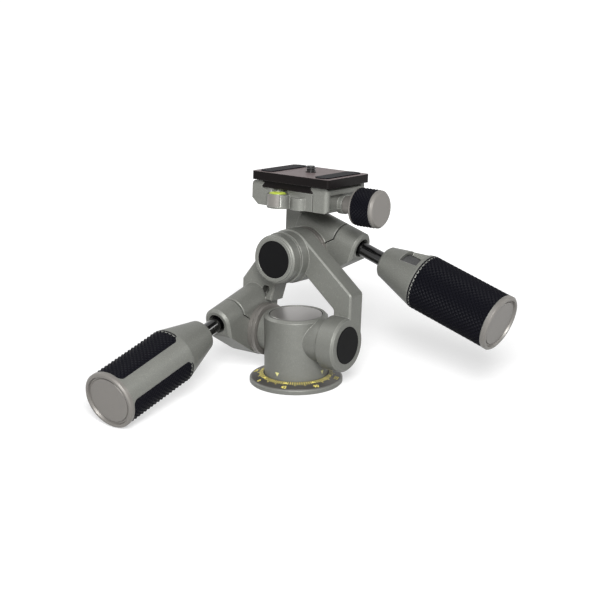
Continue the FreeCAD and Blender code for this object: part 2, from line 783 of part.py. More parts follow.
def yoke_frame():
    """Cast yoke: right boss and leg, slanted arm, roll eye with its nose, left web and clamp half."""
    made = piece("yoke_frame", TILT)
    back = (0, 0, f"-{ARM_BACK}")
    arm = [
        (TOP_X, TOP_Z),
        (LOW_X, LOW_Z),
        ("leg_inner", INNER_Z),
        ("leg_inner", 0),
        ("leg_outer", 0),
        ("leg_outer", OUTER_Z),
    ]
    pad(made, polygon(sketch(made, "XZ", back), arm), "arm_depth")
    eased(made, "Fillet", "arm_corner", corner_at([("leg_outer", OUTER_Z), ("leg_inner", INNER_Z)], 0, 2))
    pad(made, circle(sketch(made, "XZ", back), "roll_x", "roll_rise", "eye_radius"), "arm_depth")
    web = [
        ("roll_x - eye_radius * sin(web_lean)", "roll_rise + eye_radius * cos(web_lean)"),
        (WEB_OUTER, "web_corner"),
        (WEB_OUTER, 0),
        (WEB_INNER, 0),
        (WEB_INNER, "web_notch"),
        (f"{WEB_INNER} + 4", "web_notch"),
        (f"{WEB_INNER} + 7.3", "web_notch + 12"),
        (f"{WEB_INNER} + 9.3", "web_notch + 20"),
        ("roll_x", "roll_rise"),
    ]
    pad(made, polygon(sketch(made, "XZ", back), web), "arm_depth")
    boss = [
        ("boss_inner", 0),
        ("leg_outer", 0),
        ("leg_outer", "boss_radius - boss_bevel"),
        ("leg_outer - boss_bevel", "boss_radius"),
        ("boss_inner + 0.8", "boss_radius"),
        ("boss_inner", "boss_radius - 0.8"),
    ]
    faces = [value("arm_front"), value(ARM_BACK)]
    lowest = value("boss_radius")

    def outline(edge):
        box = edge.BoundBox
        flat = box.YLength < CLOSE and any(abs(box.YMin - face) < CLOSE for face in faces)
        return flat and box.ZMax > lowest

    eased(made, "Chamfer", "edge_break", outline)
    turned(made, "X", boss)
    nose = [
        ("arm_front + 1", 0),
        ("arm_front + 1", "nose_collar"),
        ("arm_front - nose_collar_length", "nose_collar"),
        ("arm_front - nose_collar_length", "nose_radius - 0.6"),
        ("arm_front - nose_collar_length - 1", "nose_radius - 0.6"),
        ("arm_front - nose_collar_length - 1", "nose_radius"),
        ("arm_front - nose_reach + 0.8", "nose_radius"),
        ("arm_front - nose_reach", "nose_radius - 0.8"),
        ("arm_front - nose_reach", 0),
    ]
    roll_line = ("0", "roll_rise", "roll_x")
    turned(made, "Y", nose, shift=roll_line)
    clamp_half(made, "YZ", (0, 0, TILT_CLAMP_X), "tilt_slope", -1)
    slant = polygon(sketch(made, "XZ", (0, 0, "-arm_front")), [
        (f"{WEB_INNER} - 1.7", "web_notch + 10"),
        (f"{WEB_INNER} - 6", "web_notch + 3"),
        (f"{WEB_INNER} - 1.5", "web_notch + 0.5"),
        (f"{WEB_INNER} + 3", "web_notch + 7"),
        (f"{WEB_INNER} + 2", "web_notch + 10"),
    ])
    pocket(made, slant, "slot_depth")
    # bearing bores and cap seats
    turned(made, "X", bar("boss_inner - 1", "leg_outer + 1", BUSH_OUTER), cut=True)
    turned(made, "X", bar("leg_outer - cap_sink", "leg_outer + 1", "cap_radius"), cut=True)
    left = WEB_OUTER
    turned(made, "X", bar(f"{left} - 1", f"{left} + cap_sink", "cap_radius"), cut=True)
    turned(made, "X", bar(f"{left} - 1", f"{left} + cap_sink + bush_length", BUSH_OUTER), cut=True)
    run_out = bar(f"{left} - 1", f"{WEB_INNER} + 1", "axle_radius + loose_fit")
    turned(made, "X", run_out, cut=True)
    through = bar("arm_front - 2 * nose_reach", f"{ARM_BACK} + 1", "axle_radius")
    turned(made, "Y", through, shift=roll_line, cut=True)
    nose_seat = bar("arm_front - nose_reach - 1", "arm_front - nose_reach + 6", "cap_radius")
    turned(made, "Y", nose_seat, shift=roll_line, cut=True)


def yoke_fittings():
    """Bushes, caps and rings that the yoke carries."""
    left = WEB_OUTER
    bushes = {
        "tilt_right_bush": ("boss_inner", "leg_outer - cap_sink - 0.5"),
        "tilt_left_bush": (f"{left} + cap_sink", f"{left} + cap_sink + bush_length"),
    }
    for label, (start, end) in bushes.items():
        turned(piece(label, TILT), "X", tube(start, end, BORE, BUSH_OUTER))
    cap = bar("leg_outer - cap_sink + 0.4", "leg_outer + cap_proud", "cap_radius", 0.4)
    turned(piece("tilt_right_cap", TILT), "X", cap)
    cap = bar(f"{left} - cap_proud", f"{left} + cap_sink - 0.4", "cap_radius", 0.4)
    turned(piece("tilt_left_cap", TILT), "X", cap)
    near = "-(spigot_left + flange_width + side_gap)"
    ring = tube(WEB_INNER, near, "axle_radius + loose_fit", "ring_radius")
    turned(piece("tilt_washer", TILT), "X", ring)
    axle = bar("arm_front - nose_reach + 3", f"{ROLL_CLAMP_Y} + barrel_radius - cap_sink", "axle_radius", 0.4)
    turned(piece("roll_axle", ROLL), "Y", axle)
    nose_face = "(arm_front - nose_reach)"
    nut = tube(f"{nose_face} + 3", f"{nose_face} + 3 + nut_height", "axle_radius", "cap_radius - 1")
    turned(piece("roll_axle_nut", ROLL), "Y", nut)
    bezel = [
        (nose_face, "cap_radius"),
        (nose_face, "bezel_radius"),
        (f"{nose_face} - 0.7", "bezel_radius - 0.5"),
        (f"{nose_face} - 0.7", "cap_radius"),
    ]
    turned(piece("roll_bezel", ROLL), "Y", bezel)
    cap = bar(f"{nose_face} - 0.5", f"{nose_face} + 2.6", "cap_radius", 0.4)
    turned(piece("roll_front_cap", ROLL), "Y", cap)
    ring = tube(ARM_BACK, f"{ARM_BACK} + flange_width", "axle_radius + loose_fit", "ring_radius")
    turned(piece("roll_flange_ring", ROLL), "Y", ring)


# ---------------------------------------------------------------- platform
DECK_DEPTH = "(deck_back - deck_front)"
SPLIT_LEFT = "(deck_split - jaw_slot)"
PLATE_BOTTOM = "(deck_top + plate_gap)"
CHANNEL = "(deck_top - dove_depth)"
TIP_RISE = f"({CHANNEL} + dove_land)"
LIP_RISE = f"({TIP_RISE} + dove_undercut)"
NECK_FRONT = ROLL_NEAR
PIN_INNER = "(deck_split - 4 * screw_radius)"
LEVEL_FLOOR = "(deck_bottom + 1.4)"
LEVEL_TOP = "(deck_bottom + level_height + 0.4)"


def platform():
    """Deck with a hooked dovetail jaw, a neck at the back and the roll clamp's half."""
    made = piece("platform_body", TILT)
    back = (0, 0, "-deck_back")
    tip = "(dove_middle - dove_tip - dove_fit)"
    lip = f"({tip} + dove_undercut)"
    deck = [
        (SPLIT_LEFT, "deck_bottom"),
        (SPLIT_LEFT, CHANNEL),
        (tip, CHANNEL),
        (tip, TIP_RISE),
        (lip, LIP_RISE),
        (lip, "deck_top - 0.8"),
        (f"{lip} - 0.8", "deck_top"),
        ("deck_left", "deck_top"),
        ("deck_left", "deck_side"),
        ("deck_foot", "deck_bottom"),
    ]
    pad(made, polygon(sketch(made, "XZ", back), deck), DECK_DEPTH)
    eased(made, "Fillet", "deck_corner", corner_at([("deck_left", "deck_top")], 0, 2))
    neck = [
        ("roll_x - ring_radius", "roll_rise"),
        ("roll_x + ring_radius", "roll_rise"),
        ("roll_x + ring_radius", "roll_rise + lift"),
        (3, "deck_bottom - 4"),
        (6, "deck_bottom + 1"),
        ("roll_x - ring_radius", "deck_bottom + 1"),
    ]
    middle = (0, 0, f"-{ROLL_CLAMP_Y}")
    pad(made, polygon(sketch(made, "XZ", middle), neck), "2 * barrel_radius", middle=True)
    clamp_half(made, "XZ", ("roll_x", "roll_rise", f"-{ROLL_CLAMP_Y}"), "roll_slope", 1)
    boss = circle(sketch(made, "XY", ("level_x", "deck_front", "deck_bottom")), 0, 0, "level_boss")
    pad(made, boss, "level_height")
    foot = [
        ("deck_bottom - 0.6", 0),
        (LEVEL_FLOOR, 0),
        (LEVEL_FLOOR, "level_radius"),
        (f"{LEVEL_FLOOR} - 0.5", "level_radius"),
        ("deck_bottom - 0.6", "level_radius - 1.5"),
    ]
    turned(made, "Z", foot, shift=("level_x", 0, "-level_y"))
    well = circle(sketch(made, "XY", ("level_x", "level_y", LEVEL_FLOOR)), 0, 0, "level_radius")
    pocket(made, well, "2 * level_height", back=True)
    bump = sketch(made, "XY", ("bump_x", "deck_front + bump_set", "deck_bottom"))
    pad(made, circle(bump, 0, 0, "bump_radius"), "bump_top")
    roll_line = ("0", "roll_rise", "roll_x")
    rear = f"({ROLL_CLAMP_Y} + barrel_radius)"
    run_out = bar(f"{NECK_FRONT} - 1", f"{rear} + 1", "axle_radius + loose_fit")
    turned(made, "Y", run_out, shift=roll_line, cut=True)
    bush_seat = bar(f"{NECK_FRONT} - 1", f"{NECK_FRONT} + bush_length", BUSH_OUTER)
    turned(made, "Y", bush_seat, shift=roll_line, cut=True)
    turned(made, "Y", bar(f"{rear} - cap_sink", f"{rear} + 1", "cap_radius"), shift=roll_line, cut=True)
    pin_seat = sketch(made, "XY", ("dove_middle + stop_offset", "plate_y", f"{CHANNEL} - stop_depth"))
    pocket(made, circle(pin_seat, 0, 0, "stop_radius"), "stop_depth + 1", back=True)
    # clamp screw's thread and the two guide pin bores, drilled from the split face
    bore = bar("deck_split - 25", "deck_split + 1", "screw_radius + shaft_fit")
    turned(made, "X", bore, shift=(0, "screw_rise", "-screw_y"), cut=True)
    for sign in (-1, 1):
        place = f"-(screw_y + ({sign}) * pin_spread)"
        bore = bar(PIN_INNER, "deck_split + 1", "pin_radius")
        turned(made, "X", bore, shift=(0, "screw_rise", place), cut=True)


def platform_fittings():
    """Bush, rings, rear cap, round level and pins on the platform."""
    rear = f"({ROLL_CLAMP_Y} + barrel_radius)"
    bush = tube(NECK_FRONT, f"{NECK_FRONT} + bush_length", BORE, BUSH_OUTER)
    turned(piece("roll_bush", ROLL), "Y", bush)
    cap = bar(f"{rear} - cap_sink + 0.4", f"{rear} + cap_proud", "cap_radius", 0.4)
    turned(piece("roll_rear_cap", ROLL), "Y", cap)
    ring = tube(f"{ARM_BACK} + flange_width + side_gap", NECK_FRONT, "axle_radius + loose_fit", "ring_radius")
    turned(piece("roll_washer", ROLL), "Y", ring)
    holder = piece("level_holder", TILT)
    drawn = sketch(holder, "XY", ("level_x", "level_y", LEVEL_FLOOR))
    circle(drawn, 0, 0, "level_radius")
    circle(drawn, 0, 0, "vial_radius")
    pad(holder, drawn, f"{LEVEL_TOP} - {LEVEL_FLOOR}")
    vial = piece("level_vial", TILT)
    drawn = sketch(vial, "XY", ("level_x", "level_y", LEVEL_FLOOR))
    pad(vial, circle(drawn, 0, 0, "vial_radius"), f"{LEVEL_TOP} - {LEVEL_FLOOR} - 0.4")
    pins = piece("jaw_guide_pins", TILT)
    for sign in (-1, 1):
        place = f"-(screw_y + ({sign}) * pin_spread)"
        pin = bar(PIN_INNER, "deck_split + 5", "pin_radius", 0.3)
        turned(pins, "X", pin, shift=(0, "screw_rise", place))


def moving_jaw():
    """Clamp jaw that slides off the deck's right side on two pins, hollowed towards its knob."""
    made = piece("plate_clamp_jaw", TILT)
    tip = "(dove_middle + dove_tip + dove_fit)"
    lip = f"({tip} - dove_undercut)"
    outline = [
        ("deck_split", "deck_bottom"),
        ("deck_right - deck_bevel", "deck_bottom"),
        ("deck_right", "deck_bottom + deck_bevel"),
        ("deck_right", "deck_top - deck_bevel"),
        ("deck_right - deck_bevel", "deck_top"),
        (lip, "deck_top"),
        (lip, LIP_RISE),
        (tip, TIP_RISE),
        (tip, CHANNEL),
        ("deck_split", CHANNEL),
    ]
    pad(made, polygon(sketch(made, "XZ", (0, 0, "-deck_back")), outline), DECK_DEPTH)
    upright = [("deck_right", "deck_front"), ("deck_right", "deck_back")]
    eased(made, "Fillet", "deck_corner", corner_at(upright, 0, 1))
    hollow = sketch(made, "YZ", (0, 0, "deck_right - pocket_depth"))
    low = "(deck_bottom + pocket_low)"
    high = "(deck_top - pocket_high)"
    box_outline(hollow, "screw_y - pocket_half", low, "screw_y + pocket_half", high)
    pocket(made, hollow, "pocket_depth + 1", back=True)
    line = (0, "screw_rise", "-screw_y")
    turned(made, "X", bar("deck_right - pocket_depth - 1", "deck_right", "knob_neck + 0.5"), shift=line)
    room = "pin_radius + shaft_fit"
    for sign in (-1, 1):
        place = f"-(screw_y + ({sign}) * pin_spread)"
        bore = bar("deck_split - 1", "deck_split + 6", room)
        turned(made, "X", bore, shift=(0, "screw_rise", place), cut=True)
    through = bar("deck_split - 1", "deck_right + 1", "screw_radius + loose_fit")
    turned(made, "X", through, shift=line, cut=True)


def clamp_knob():
    """Screw, flanged core and knurled band of the plate clamp's knob."""
    line = (0, "screw_rise", "-screw_y")
    near = "(deck_right + side_gap)"
    face = f"({near} + knob_reach)"
    screw = piece("plate_clamp_screw", TILT)
    turned(screw, "X", bar("deck_split - 8", f"{face} + 3", "screw_radius"), shift=line)
    core = piece("plate_knob_core", TILT)
    end = f"({face} + knob_length)"
    rim = "(knob_radius - 0.3)"
    shape = [
        (f"{face} + 3", 0),
        (end, 0),
        (end, f"{rim} - 1.2"),
        (f"{end} - 1.2", rim),
        (f"{end} - 2.6", rim),
        (f"{end} - 2.6", "knob_core"),
        (f"{face} + 2.2", "knob_core"),
        (f"{face} + 2.2", "knob_radius - 0.6"),
        (f"{face} + 0.9", "knob_radius - 0.6"),
        (face, "knob_radius - 2"),
        (face, "knob_neck"),
        (near, "knob_neck"),
        (near, "screw_radius"),
        (f"{face} + 3", "screw_radius"),
    ]
    turned(core, "X", shape, shift=line)
    band = piece("plate_knob_band", TILT)
    sleeve = [
        (f"{face} + 2.2", "knob_core"),
        (f"{end} - 2.6", "knob_core"),
        (f"{end} - 2.6", "knob_radius - 0.5"),
        (f"{end} - 3.1", "knob_radius"),
        (f"{face} + 2.7", "knob_radius"),
        (f"{face} + 2.2", "knob_radius - 0.5"),
    ]
    turned(band, "X", sleeve, shift=line)


# ---------------------------------------------------------------- quick release plate
PLATE_LEFT = "(plate_x - plate_width / 2)"
PLATE_RIGHT = "(plate_x + plate_width / 2)"
PLATE_FRONT = "(plate_y - plate_depth / 2)"
PLATE_BACK = "(plate_y + plate_depth / 2)"
PLATE_TOP = f"({PLATE_BOTTOM} + plate_thick)"
SKIN = 2.4


def plate():
    """Camera plate with a dovetail below, a camera screw bore and two friction pads."""
    made = piece("release_plate", TILT)
    drawn = sketch(made, "XY", (0, 0, PLATE_BOTTOM))
    box_outline(drawn, PLATE_LEFT, PLATE_FRONT, PLATE_RIGHT, PLATE_BACK)
    pad(made, drawn, "plate_thick")
    corners = [(across, up) for across in (PLATE_LEFT, PLATE_RIGHT) for up in (PLATE_FRONT, PLATE_BACK)]
    eased(made, "Fillet", "plate_corner", corner_at(corners, 0, 1))
    foot = f"({CHANNEL} + dove_fit)"
    neck = "(dove_tip - dove_undercut)"
    dovetail = [
        ("dove_middle - dove_tip", foot),
        ("dove_middle + dove_tip", foot),
        ("dove_middle + dove_tip", f"{TIP_RISE} - dove_fit"),
        (f"dove_middle + {neck}", f"{LIP_RISE} - dove_fit"),
        (f"dove_middle + {neck}", f"{PLATE_BOTTOM} + 1"),
        (f"dove_middle - {neck}", f"{PLATE_BOTTOM} + 1"),
        (f"dove_middle - {neck}", f"{LIP_RISE} - dove_fit"),
        ("dove_middle - dove_tip", f"{TIP_RISE} - dove_fit"),
    ]
    length = sketch(made, "XZ", (0, 0, f"-({PLATE_BACK} - 1)"))
    pad(made, polygon(length, dovetail), f"{PLATE_BACK} - 1 - deck_front")
    centre = ("plate_x", "plate_y", PLATE_TOP)
    bore = circle(sketch(made, "XY", centre), 0, 0, "camera_thread + loose_fit")
    pocket(made, bore, "plate_thick + dove_depth + 1")
    seat = ("plate_x", "plate_y", foot)
    well = circle(sketch(made, "XY", seat), 0, 0, "camera_head_radius + loose_fit")
    pocket(made, well, f"{PLATE_TOP} - {SKIN} - {foot}", back=True)
    groove = sketch(made, "XY", ("dove_middle + stop_offset", "plate_y", foot))
    reach = "(slide_travel + stop_radius + side_gap)"
    side = "(stop_radius + side_gap)"
    box_outline(groove, f"-{side}", f"-{reach}", side, reach)
    pocket(made, groove, "stop_proud", back=True)
    pads = piece("plate_pads", TILT)
    sides = (
        (f"{PLATE_LEFT} + pad_inset", f"{PLATE_LEFT} + pad_inset + pad_width"),
        (f"{PLATE_RIGHT} - pad_inset - pad_width", f"{PLATE_RIGHT} - pad_inset"),
    )
    low = f"{PLATE_FRONT} + pad_margin"
    high = f"{PLATE_BACK} - pad_margin"
    for left, right in sides:
        drawn = sketch(pads, "XY", (0, 0, PLATE_TOP))
        pad(pads, box_outline(drawn, left, low, right, high), "pad_thick")
        corners = [(left, low), (right, low), (left, high), (right, high)]
        eased(pads, "Fillet", "pad_corner", corner_at(corners, 0, 1))


def camera_screw():
    """Quarter inch camera screw with a slotted head under the plate and a thinner neck in its bore."""
    top = f"({PLATE_TOP} - {SKIN} - side_gap)"
    made = piece("camera_screw", TILT)
    thread = f"({PLATE_TOP} + pad_thick)"
    end = f"({PLATE_TOP} + camera_proud)"
    profile = [
        (f"{top} - camera_head", 0),
        (end, 0),
        (end, "camera_thread"),
        (thread, "camera_thread"),
        (thread, "camera_neck"),
        (top, "camera_neck"),
        (top, "camera_head_radius"),
        (f"{top} - camera_head", "camera_head_radius"),
    ]
    turned(made, "Z", profile, shift=("plate_x", 0, "-plate_y"))
    slot = sketch(made, "XY", ("plate_x", "plate_y", f"{top} - camera_head"))
    box_outline(slot, "-camera_head_radius - 1", -0.9, "camera_head_radius + 1", 0.9)
    pocket(made, slot, 1.2, back=True)


def stop_pin():
    """Steel pin in the deck that ends the plate's slide in its groove."""
    made = piece("plate_stop_pin", TILT)
    base = sketch(made, "XY", ("dove_middle + stop_offset", "plate_y", f"{CHANNEL} - stop_depth"))
    pad(made, circle(base, 0, 0, "stop_radius"), "stop_depth + stop_proud")


base_disc()
pan_hub()
socket_insert()
pan_nut()
glide_washer()
pan_housing()
pan_cap()
tilt_axle()
tilt_flange()
pan_lock()
pan_lock_shoe()
yoke_frame()
yoke_fittings()
clamp_handle("tilt", TILT_CLAMP, TILT_CLAMP + on_rod(0, "tilt_grip_twist"))
platform()
platform_fittings()
clamp_handle("roll", ROLL_CLAMP, ROLL_CLAMP + on_rod("roll_grip_out", "roll_grip_twist"))
moving_jaw()
clamp_knob()
plate()
camera_screw()
stop_pin()
doc.recompute()


def checked():
    """Stop with a plain message where an object or a piece's shape failed."""
    faults = []
    for item in doc.Objects:
        for state in item.State:
            if state in FAILED_STATES:
                faults.append(f"{item.Name} of {item.getParentGeoFeatureGroup()}: {state}")
    for made in pieces:
        if made.Shape.isNull() or not made.Shape.isValid():
            faults.append(f"{made.Label}: no valid shape")
    if faults:
        raise RuntimeError("\n".join(faults))


checked()
os.makedirs("parts", exist_ok=True)
for made in pieces:
    made.Shape.exportStep(f"parts/{made.Label}.step")
    box = made.Shape.BoundBox
    solids = len(made.Shape.Solids)
    print(f"{made.Label}: {solids} solid, {made.Shape.Volume:.0f} mm3, z {box.ZMin:.2f} to {box.ZMax:.2f}")
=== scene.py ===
"""Looks of a three way pan tilt head: castings, turned caps, rubber grips, scale, level, plate."""
import json
import math

import bmesh
import bpy
from mathutils import Matrix, Vector


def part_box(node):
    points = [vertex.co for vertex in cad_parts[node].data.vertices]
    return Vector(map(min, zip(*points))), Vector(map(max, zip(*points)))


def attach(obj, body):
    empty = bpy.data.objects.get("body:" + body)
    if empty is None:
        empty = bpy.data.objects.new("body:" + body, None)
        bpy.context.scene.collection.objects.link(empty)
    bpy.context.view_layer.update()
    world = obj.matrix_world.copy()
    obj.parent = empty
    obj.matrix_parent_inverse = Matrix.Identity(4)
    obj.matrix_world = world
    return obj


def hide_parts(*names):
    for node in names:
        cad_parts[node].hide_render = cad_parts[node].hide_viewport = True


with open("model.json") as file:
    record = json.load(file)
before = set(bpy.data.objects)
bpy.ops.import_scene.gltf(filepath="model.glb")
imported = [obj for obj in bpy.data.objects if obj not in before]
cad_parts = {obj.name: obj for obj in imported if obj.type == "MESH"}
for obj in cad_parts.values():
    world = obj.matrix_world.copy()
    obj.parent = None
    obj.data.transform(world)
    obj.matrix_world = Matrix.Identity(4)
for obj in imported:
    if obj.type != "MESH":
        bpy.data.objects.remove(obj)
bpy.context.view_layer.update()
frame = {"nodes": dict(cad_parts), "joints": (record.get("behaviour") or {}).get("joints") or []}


# ---------------------------------------------------------------- painted castings
# The base disc, pan drum, yoke, platform, clamp jaws, bezel and grip cones are die cast aluminium.
# They are shot blasted and carry a satin grey paint, paler along the edges: partly worn thin to the
# metal, partly a painted highlight.

MM = 0.001


class Wire:
    """The output of a shader node, used in plain arithmetic."""

    def __init__(self, tree, socket):
        self.tree = tree
        self.socket = socket

    def maths(self, operation, first, second):
        return self.tree.node("ShaderNodeMath", {"operation": operation}, {0: first, 1: second})

    def __add__(self, other):
        return self.maths("ADD", self, other)

    def __sub__(self, other):
        return self.maths("SUBTRACT", self, other)

    def __rsub__(self, other):
        return self.maths("SUBTRACT", other, self)

    def __mul__(self, other):
        return self.maths("MULTIPLY", self, other)

    def __lt__(self, other):
        return self.maths("LESS_THAN", self, other)

    def __gt__(self, other):
        return self.maths("GREATER_THAN", self, other)

    __radd__ = __add__
    __rmul__ = __mul__


class Tree:
    """The shader nodes of a material or of the world."""

    def __init__(self, owner):
        owner.use_nodes = True
        self.nodes = owner.node_tree.nodes
        self.links = owner.node_tree.links

    def node(self, kind, settings=None, inputs=None, out=0):
        """Add a node: its settings first, then the values or links of its sockets."""
        made = self.nodes.new(kind)
        for name, setting in (settings or {}).items():
            setattr(made, name, setting)
        for key, source in (inputs or {}).items():
            if isinstance(source, Wire):
                self.links.new(source.socket, made.inputs[key])
            else:
                made.inputs[key].default_value = source
        return Wire(self, made.outputs[out])


class Finish(Tree):
    """One material. Plain numbers go on the shader's own sockets; what varies is linked to them."""

    def __init__(self, name, colour=None, **plain):
        self.material = bpy.data.materials.new(name)
        super().__init__(self.material)
        self.shader = self.nodes["Principled BSDF"]
        if colour:
            self.shader.inputs["Base Color"].default_value = colour
        for socket, amount in plain.items():
            self.shader.inputs[socket.replace("_", " ")].default_value = amount

    def feed(self, socket, source):
        self.links.new(source.socket, self.shader.inputs[socket])

    def place(self):
        return self.node("ShaderNodeTexCoord", out="Object")

    def grain(self, size, detail=2.0, where=None):
        """Noise whose grains are about size metres across, 0 to 1."""
        inputs = {"Vector": where or self.place(), "Scale": 1 / size, "Detail": detail}
        return self.node("ShaderNodeTexNoise", {}, inputs, "Fac")

    def blend(self, factor, low, high):
        """Two colours or colour wires mixed by a factor."""
        return self.node("ShaderNodeMix", {"data_type": "RGBA"}, {0: factor, 6: low, 7: high}, 2)

    def dented(self, height, depth, normal):
        """Bump of a height map, depth in metres, over a normal, into the shader's normal."""
        inputs = {"Height": height, "Distance": depth, "Strength": 1.0, "Normal": normal}
        self.feed("Normal", self.node("ShaderNodeBump", {}, inputs, "Normal"))

    def product(self, first, second):
        """The dot product of two directions."""
        settings = {"operation": "DOT_PRODUCT"}
        return self.node("ShaderNodeVectorMath", settings, {0: first, 1: second}, "Value")

    def distance(self, where):
        """How far a place is from zero, in metres."""
        return self.node("ShaderNodeVectorMath", {"operation": "LENGTH"}, {0: where}, "Value")

    def soft_edge(self, radius):
        """Normal rounded over the edges, and a mask that is 1 along them."""
        flat_at, edge_at = 0.995, 0.9
        rounded = self.node("ShaderNodeBevel", {"samples": 6}, {"Radius": radius}, "Normal")
        flat = self.node("ShaderNodeNewGeometry", out="Normal")
        same = self.product(rounded, flat)
        edge = self.node("ShaderNodeMapRange", {}, {0: same, 1: flat_at, 2: edge_at, 3: 0.0, 4: 1.0})
        return rounded, edge


def rgb(red, green, blue):
    """A colour given as it is seen on screen, 0 to 255, as a shader colour."""
    linear = [(part / 255 + 0.055) / 1.055 for part in (red, green, blue)]
    return [part ** 2.4 for part in linear] + [1]


def dimmed(colour, share):
    """A shader colour with its light scaled by a share."""
    return [part * share for part in colour[:3]] + [1]


CAST_EDGE = 0.5 * MM
PAINT_CLOUDS = 14 * MM
PAINT_SPECKS = 0.35 * MM
SPECKS_ABOVE = 0.62
SHEEN_GRAIN = 0.5 * MM
BLAST_GRAIN = 0.45 * MM
BLAST_DEPTH = 0.015 * MM


def cast_paint(name, colour, bare_and_highlight):
    """Satin paint on a blasted casting with specks of bare metal, paler along the edges: partly worn
    paint, partly a painted highlight.
    """
    made = Finish(name, Metallic=0.35, Specular_IOR_Level=0.3)
    rounded, edge = made.soft_edge(CAST_EDGE)
    paint = made.blend(made.grain(PAINT_CLOUDS, 3), dimmed(colour, 0.9), colour)
    speck = made.grain(PAINT_SPECKS, 1) > SPECKS_ABOVE
    paint = made.blend(speck * 0.25, paint, bare_and_highlight)
    # Along the edges the pale colour is partly paint worn to the metal and partly a painted
    # highlight.
    made.feed("Base Color", made.blend(edge * 0.5, paint, bare_and_highlight))
    made.feed("Roughness", 0.40 + made.grain(SHEEN_GRAIN) * 0.14 - edge * 0.08)
    made.dented(made.grain(BLAST_GRAIN, 3), BLAST_DEPTH, rounded)
    return made.material


def dress(finish, *labels):
    """Give parts of the head their finish."""
    for label in labels:
        frame["nodes"][label].material_slots[0].material = finish


GREY_PAINT = cast_paint("casting_paint", rgb(110, 111, 106), rgb(166, 166, 161))
dress(GREY_PAINT, "base_disc", "pan_housing", "yoke_frame", "tilt_clamp_jaw", "roll_clamp_jaw",
      "plate_clamp_jaw", "tilt_grip_core", "roll_grip_core", "roll_bezel")


# ---------------------------------------------------------------- scale ring of the base
# The base disc rises in a shallow cone to the foot of the drum. The cone carries a darker coat of
# the same paint, with a degree scale, triangles and numbers printed on it in yellow.

def new_piece(name, mesh, body, finish, at=None):
    """Finish a bmesh as an object that sits at the origin and rides a body."""
    if at:
        bmesh.ops.transform(mesh, matrix=at, verts=mesh.verts)
    data = bpy.data.meshes.new(name)
    mesh.to_mesh(data)
    mesh.free()
    data.materials.append(finish)
    made = bpy.data.objects.new(name, data)
    bpy.context.collection.objects.link(made)
    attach(made, body)
    return made


def spun(profile, steps=96):
    """A closed turned solid about Z from the (radius, height) corners of its section."""
    mesh = bmesh.new()
    corners = [mesh.verts.new((radius, 0, height)) for radius, height in profile]
    around = [mesh.edges.new(pair) for pair in zip(corners, corners[1:])]
    if profile[0][0] > 0:
        around.append(mesh.edges.new((corners[-1], corners[0])))
    bmesh.ops.spin(mesh, geom=corners + around, cent=(0, 0, 0), axis=(0, 0, 1), dvec=(0, 0, 0),
                   angle=math.tau, steps=steps, use_merge=True, use_duplicate=False)
    bmesh.ops.remove_doubles(mesh, verts=mesh.verts, dist=1e-6)
    bmesh.ops.recalc_face_normals(mesh, faces=mesh.faces)
    return mesh


def smooth_sides(made, limit=30):
    """Shade the turned faces as round and keep the corners sharp."""
    mesh = made.data
    for face in mesh.polygons:
        face.use_smooth = True
    mesh.set_sharp_from_angle(angle=math.radians(limit))


CONE_PAINT = cast_paint("scale_paint", rgb(78, 76, 73), rgb(112, 110, 106))
CONE_FOOT = 29.2 * MM
CONE_TOP = 20.8 * MM
CONE_RISE = 5.85 * MM
CONE_LIP = 0.3 * MM
CONE_STEP = 0.06 * MM
DISC_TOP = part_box("base_disc")[1].z
SKIN_GAP = 0.01 * MM
cone = spun([(CONE_TOP, DISC_TOP + SKIN_GAP), (CONE_FOOT, DISC_TOP + SKIN_GAP),
             (CONE_FOOT, DISC_TOP + CONE_STEP), (CONE_TOP + CONE_LIP, CONE_RISE),
             (CONE_TOP, CONE_RISE)], 144)
smooth_sides(new_piece("scale_cone", cone, "root", CONE_PAINT), 12)
CONE_SLOPE = math.atan2(CONE_RISE - DISC_TOP, CONE_FOOT - CONE_TOP)
INK = 0.04 * MM


def on_cone(turn, radius):
    """A place on the cone by angle and radius: X to the right, Y up the slope, Z out of it."""
    height = CONE_RISE - (radius - CONE_TOP - CONE_LIP) * math.tan(CONE_SLOPE)
    spot = Matrix.Translation((radius, 0, height)) @ Matrix.Rotation(math.pi / 2, 4, "Z")
    return Matrix.Rotation(turn, 4, "Z") @ spot @ Matrix.Rotation(CONE_SLOPE, 4, "X")


def printed(name, colour):
    """Matt ink, a little thinner in spots."""
    made = Finish(name, Roughness=0.55)
    thin_spots = made.grain(0.8 * MM)
    made.feed("Base Color", made.blend(thin_spots, dimmed(colour, 0.72), colour))
    return made.material


def bar_mark(mesh, length, width, at):
    """A printed bar, half of its thickness above the surface."""
    bmesh.ops.create_cube(mesh, size=1.0, matrix=at @ Matrix.Diagonal((width, length, INK * 2, 1)))


def arrow_mark(mesh, size, at):
    """A printed triangle."""
    bmesh.ops.create_cone(mesh, cap_ends=True, segments=3, radius1=size, radius2=size,
                          depth=INK * 2, matrix=at)


SCALE_YELLOW = printed("scale_yellow", rgb(244, 228, 120))
SCALE_START = math.radians(-116)
TICKS = 96
TICKS_BETWEEN_NUMBERS = 12
TICKS_BETWEEN_LONG = 4
TICK_TOP = 21.2 * MM
SHORT_TICK = 2.8 * MM
LONG_TICK = 4.0 * MM
TICK_WIDTH = 0.42 * MM
ARROW_SIZE = 1.5 * MM
ARROW_DROP = 1.4 * MM
marks = bmesh.new()
for tick in range(TICKS):
    turn = SCALE_START + math.tau * tick / TICKS
    if tick % TICKS_BETWEEN_NUMBERS == 0:
        arrow_mark(marks, ARROW_SIZE, on_cone(turn, TICK_TOP + ARROW_DROP))
    else:
        long = LONG_TICK if tick % TICKS_BETWEEN_LONG == 0 else SHORT_TICK
        bar_mark(marks, long, TICK_WIDTH, on_cone(turn, TICK_TOP + long / 2))
new_piece("scale_ticks", marks, "root", SCALE_YELLOW)

